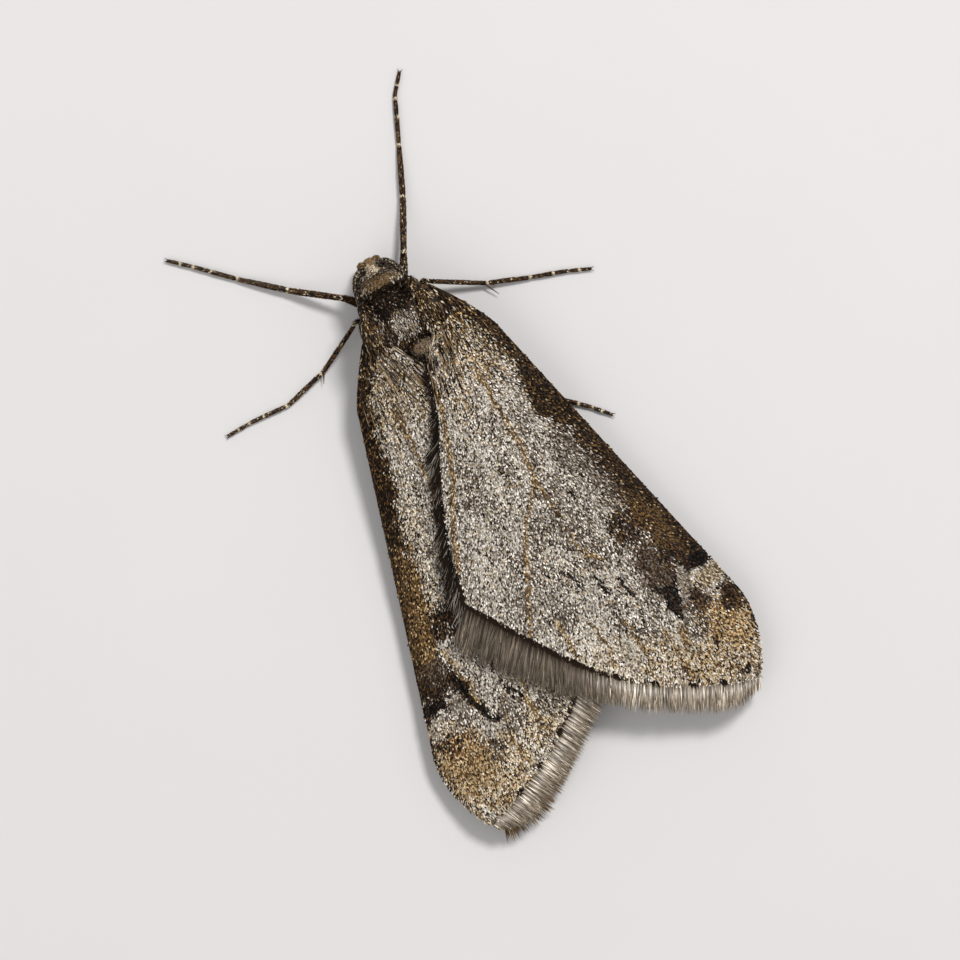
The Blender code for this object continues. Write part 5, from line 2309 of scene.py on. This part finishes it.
        for side in Side:
            node = f"antenna_{side.word}"
            limb = Limb.through(side.mirror(FEELER), radius_at, bend=0.16, step=0.025, sides=12)
            bm = bmesh.new()
            rings = np.array(limb.build(bm))
            bmesh.ops.recalc_face_normals(bm, faces=bm.faces)
            shade = 0.5 + 0.5 * np.cos(FULL_TURN * limb.distances[rings] / ring)
            tints = blend(Tone.BLACK.linear, Tone.BROWN.linear, shade)
            mesh = tinted_mesh(bm, f"{node}_stem", self.plan, tints)
            finish_piece(mesh, HORN, "feeler", (node,))
            count = Count.FEELER
            along, turn, places, normals, heading = limb.sow(0.0, count, dice)
            tones = np.tile(Tone.BLACK.linear, (count, 1))
            tones[dice.random(count) < 0.35] = Tone.DARK.linear
            pale = (np.cos(FULL_TURN * along / ring) > 0.5) & (np.cos(turn) > 0.3)
            tones[pale & (dice.random(count) < 0.42)] = Tone.CREAM.linear * 0.8
            heading = heading + dice.normal(0.0, 0.12, (count, 3))
            lift, keys = dice.uniform(0.06, 0.25, count), same_keys(tones, 0.6, 1.1)
            spots = np.stack([turn / FULL_TURN, along / limb.distances[-1]], axis=-1)
            coat = Coat(Blade.scale(0.25))
            roots, sizes = places - normals * 0.004, (0.065, 0.030)
            coat.add(roots, heading, normals, sizes, lift, 0.05, keys, spots)
            coat.piece(f"{node}_scales", self.plan, LEG_SCALE, "feeler")

    def build(self) -> None:
        """Build the whole body."""
        self.skin()
        self.trunk_coat()
        self.leg_coat()
        self.claws()
        self.eyes()
        self.feelers()


# ---- stage


@dataclass
class Studio:
    """Floor, soft light and camera, all outside the animal."""

    plan: Plan
    view_width: float = 31.39
    middle: tuple[float, float] = (0.089, 7.531)
    lens: float = 200.0
    sensor: float = 36.0
    level: float = 1.0

    def up(self) -> Vector:
        """Direction of the view's upper edge."""
        return Vector((-math.sin(TURN), -math.cos(TURN), 0.0))

    def right(self) -> Vector:
        """Direction of the view's right edge."""
        return Vector((-math.cos(TURN), math.sin(TURN), 0.0))

    def floor(self) -> None:
        """A plain pale floor."""
        bm = bmesh.new()
        bmesh.ops.create_grid(bm, x_segments=1, y_segments=1, size=0.6)
        mesh = bpy.data.meshes.new("floor")
        bm.to_mesh(mesh)
        bm.free()
        mesh.materials.append(PALE_FLOOR.material())
        floor = add_object("floor", mesh)

    def camera(self) -> None:
        """A camera that looks straight down."""
        data = bpy.data.cameras.new("camera")
        data.lens = self.lens
        data.sensor_width = self.sensor
        data.clip_start = 0.001
        data.clip_end = 5.0
        height = self.view_width * self.lens / self.sensor + self.level
        spot = self.plan.metres(np.array([[self.middle[0], self.middle[1], height]]))[0]
        camera = add_object("camera", data)
        axes = Matrix((self.right(), self.up(), Vector((0.0, 0.0, 1.0)))).transposed()
        camera.matrix_world = Matrix.Translation(Vector(spot)) @ axes.to_4x4()
        bpy.context.scene.camera = camera

    def lamp(self, name: str, toward: Vector, far: float, size: float, power: float) -> None:
        """One round soft lamp that faces the animal.

        Args:
            name: the lamp's name.
            toward: direction from the animal to the lamp.
            far: how far away it stands.
            size: its width.
            power: its power, in watts.
        """
        data = bpy.data.lights.new(name, "AREA")
        data.shape = "DISK"
        data.size = size
        data.energy = power
        lamp = add_object(name, data)
        target = Vector(self.plan.metres(np.array([[0.0, 8.0, 1.0]]))[0])
        lamp.location = target + toward.normalized() * far
        lamp.rotation_euler = toward.to_track_quat("Z", "Y").to_euler()

    def light(self) -> None:
        """A soft key lamp, a wide fill and an even sky."""
        up, right = self.up(), self.right()
        key = (up * 0.88 + right * 0.47) * 0.70 + Vector((0.0, 0.0, 1.0))
        self.lamp("key", key, 0.30, 0.075, 0.62)
        fill = -up * 0.5 - right * 0.6 + Vector((0.0, 0.0, 1.0))
        self.lamp("fill", fill, 0.35, 0.30, 0.20)
        world = bpy.data.worlds.new("studio")
        world.use_nodes = True
        sky = world.node_tree.nodes["Background"]
        sky.inputs["Color"].default_value = (0.97, 0.98, 1.0, 1.0)
        sky.inputs["Strength"].default_value = 0.42
        bpy.context.scene.world = world
        bpy.context.scene.view_settings.view_transform = "Standard"

    def build(self) -> None:
        """Set the stage."""
        self.floor()
        self.camera()
        self.light()


def main() -> None:
    """Build every piece in order."""
    logging.basicConfig(level=logging.INFO, format="%(name)s %(message)s")
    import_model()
    plan = Plan.from_frame()
    Studio(plan).build()
    Body(plan).build()
    for side in Side:
        Hindwing(side, plan).build()
        Forewing(side, plan).build()


if __name__ == "__main__":
    main()
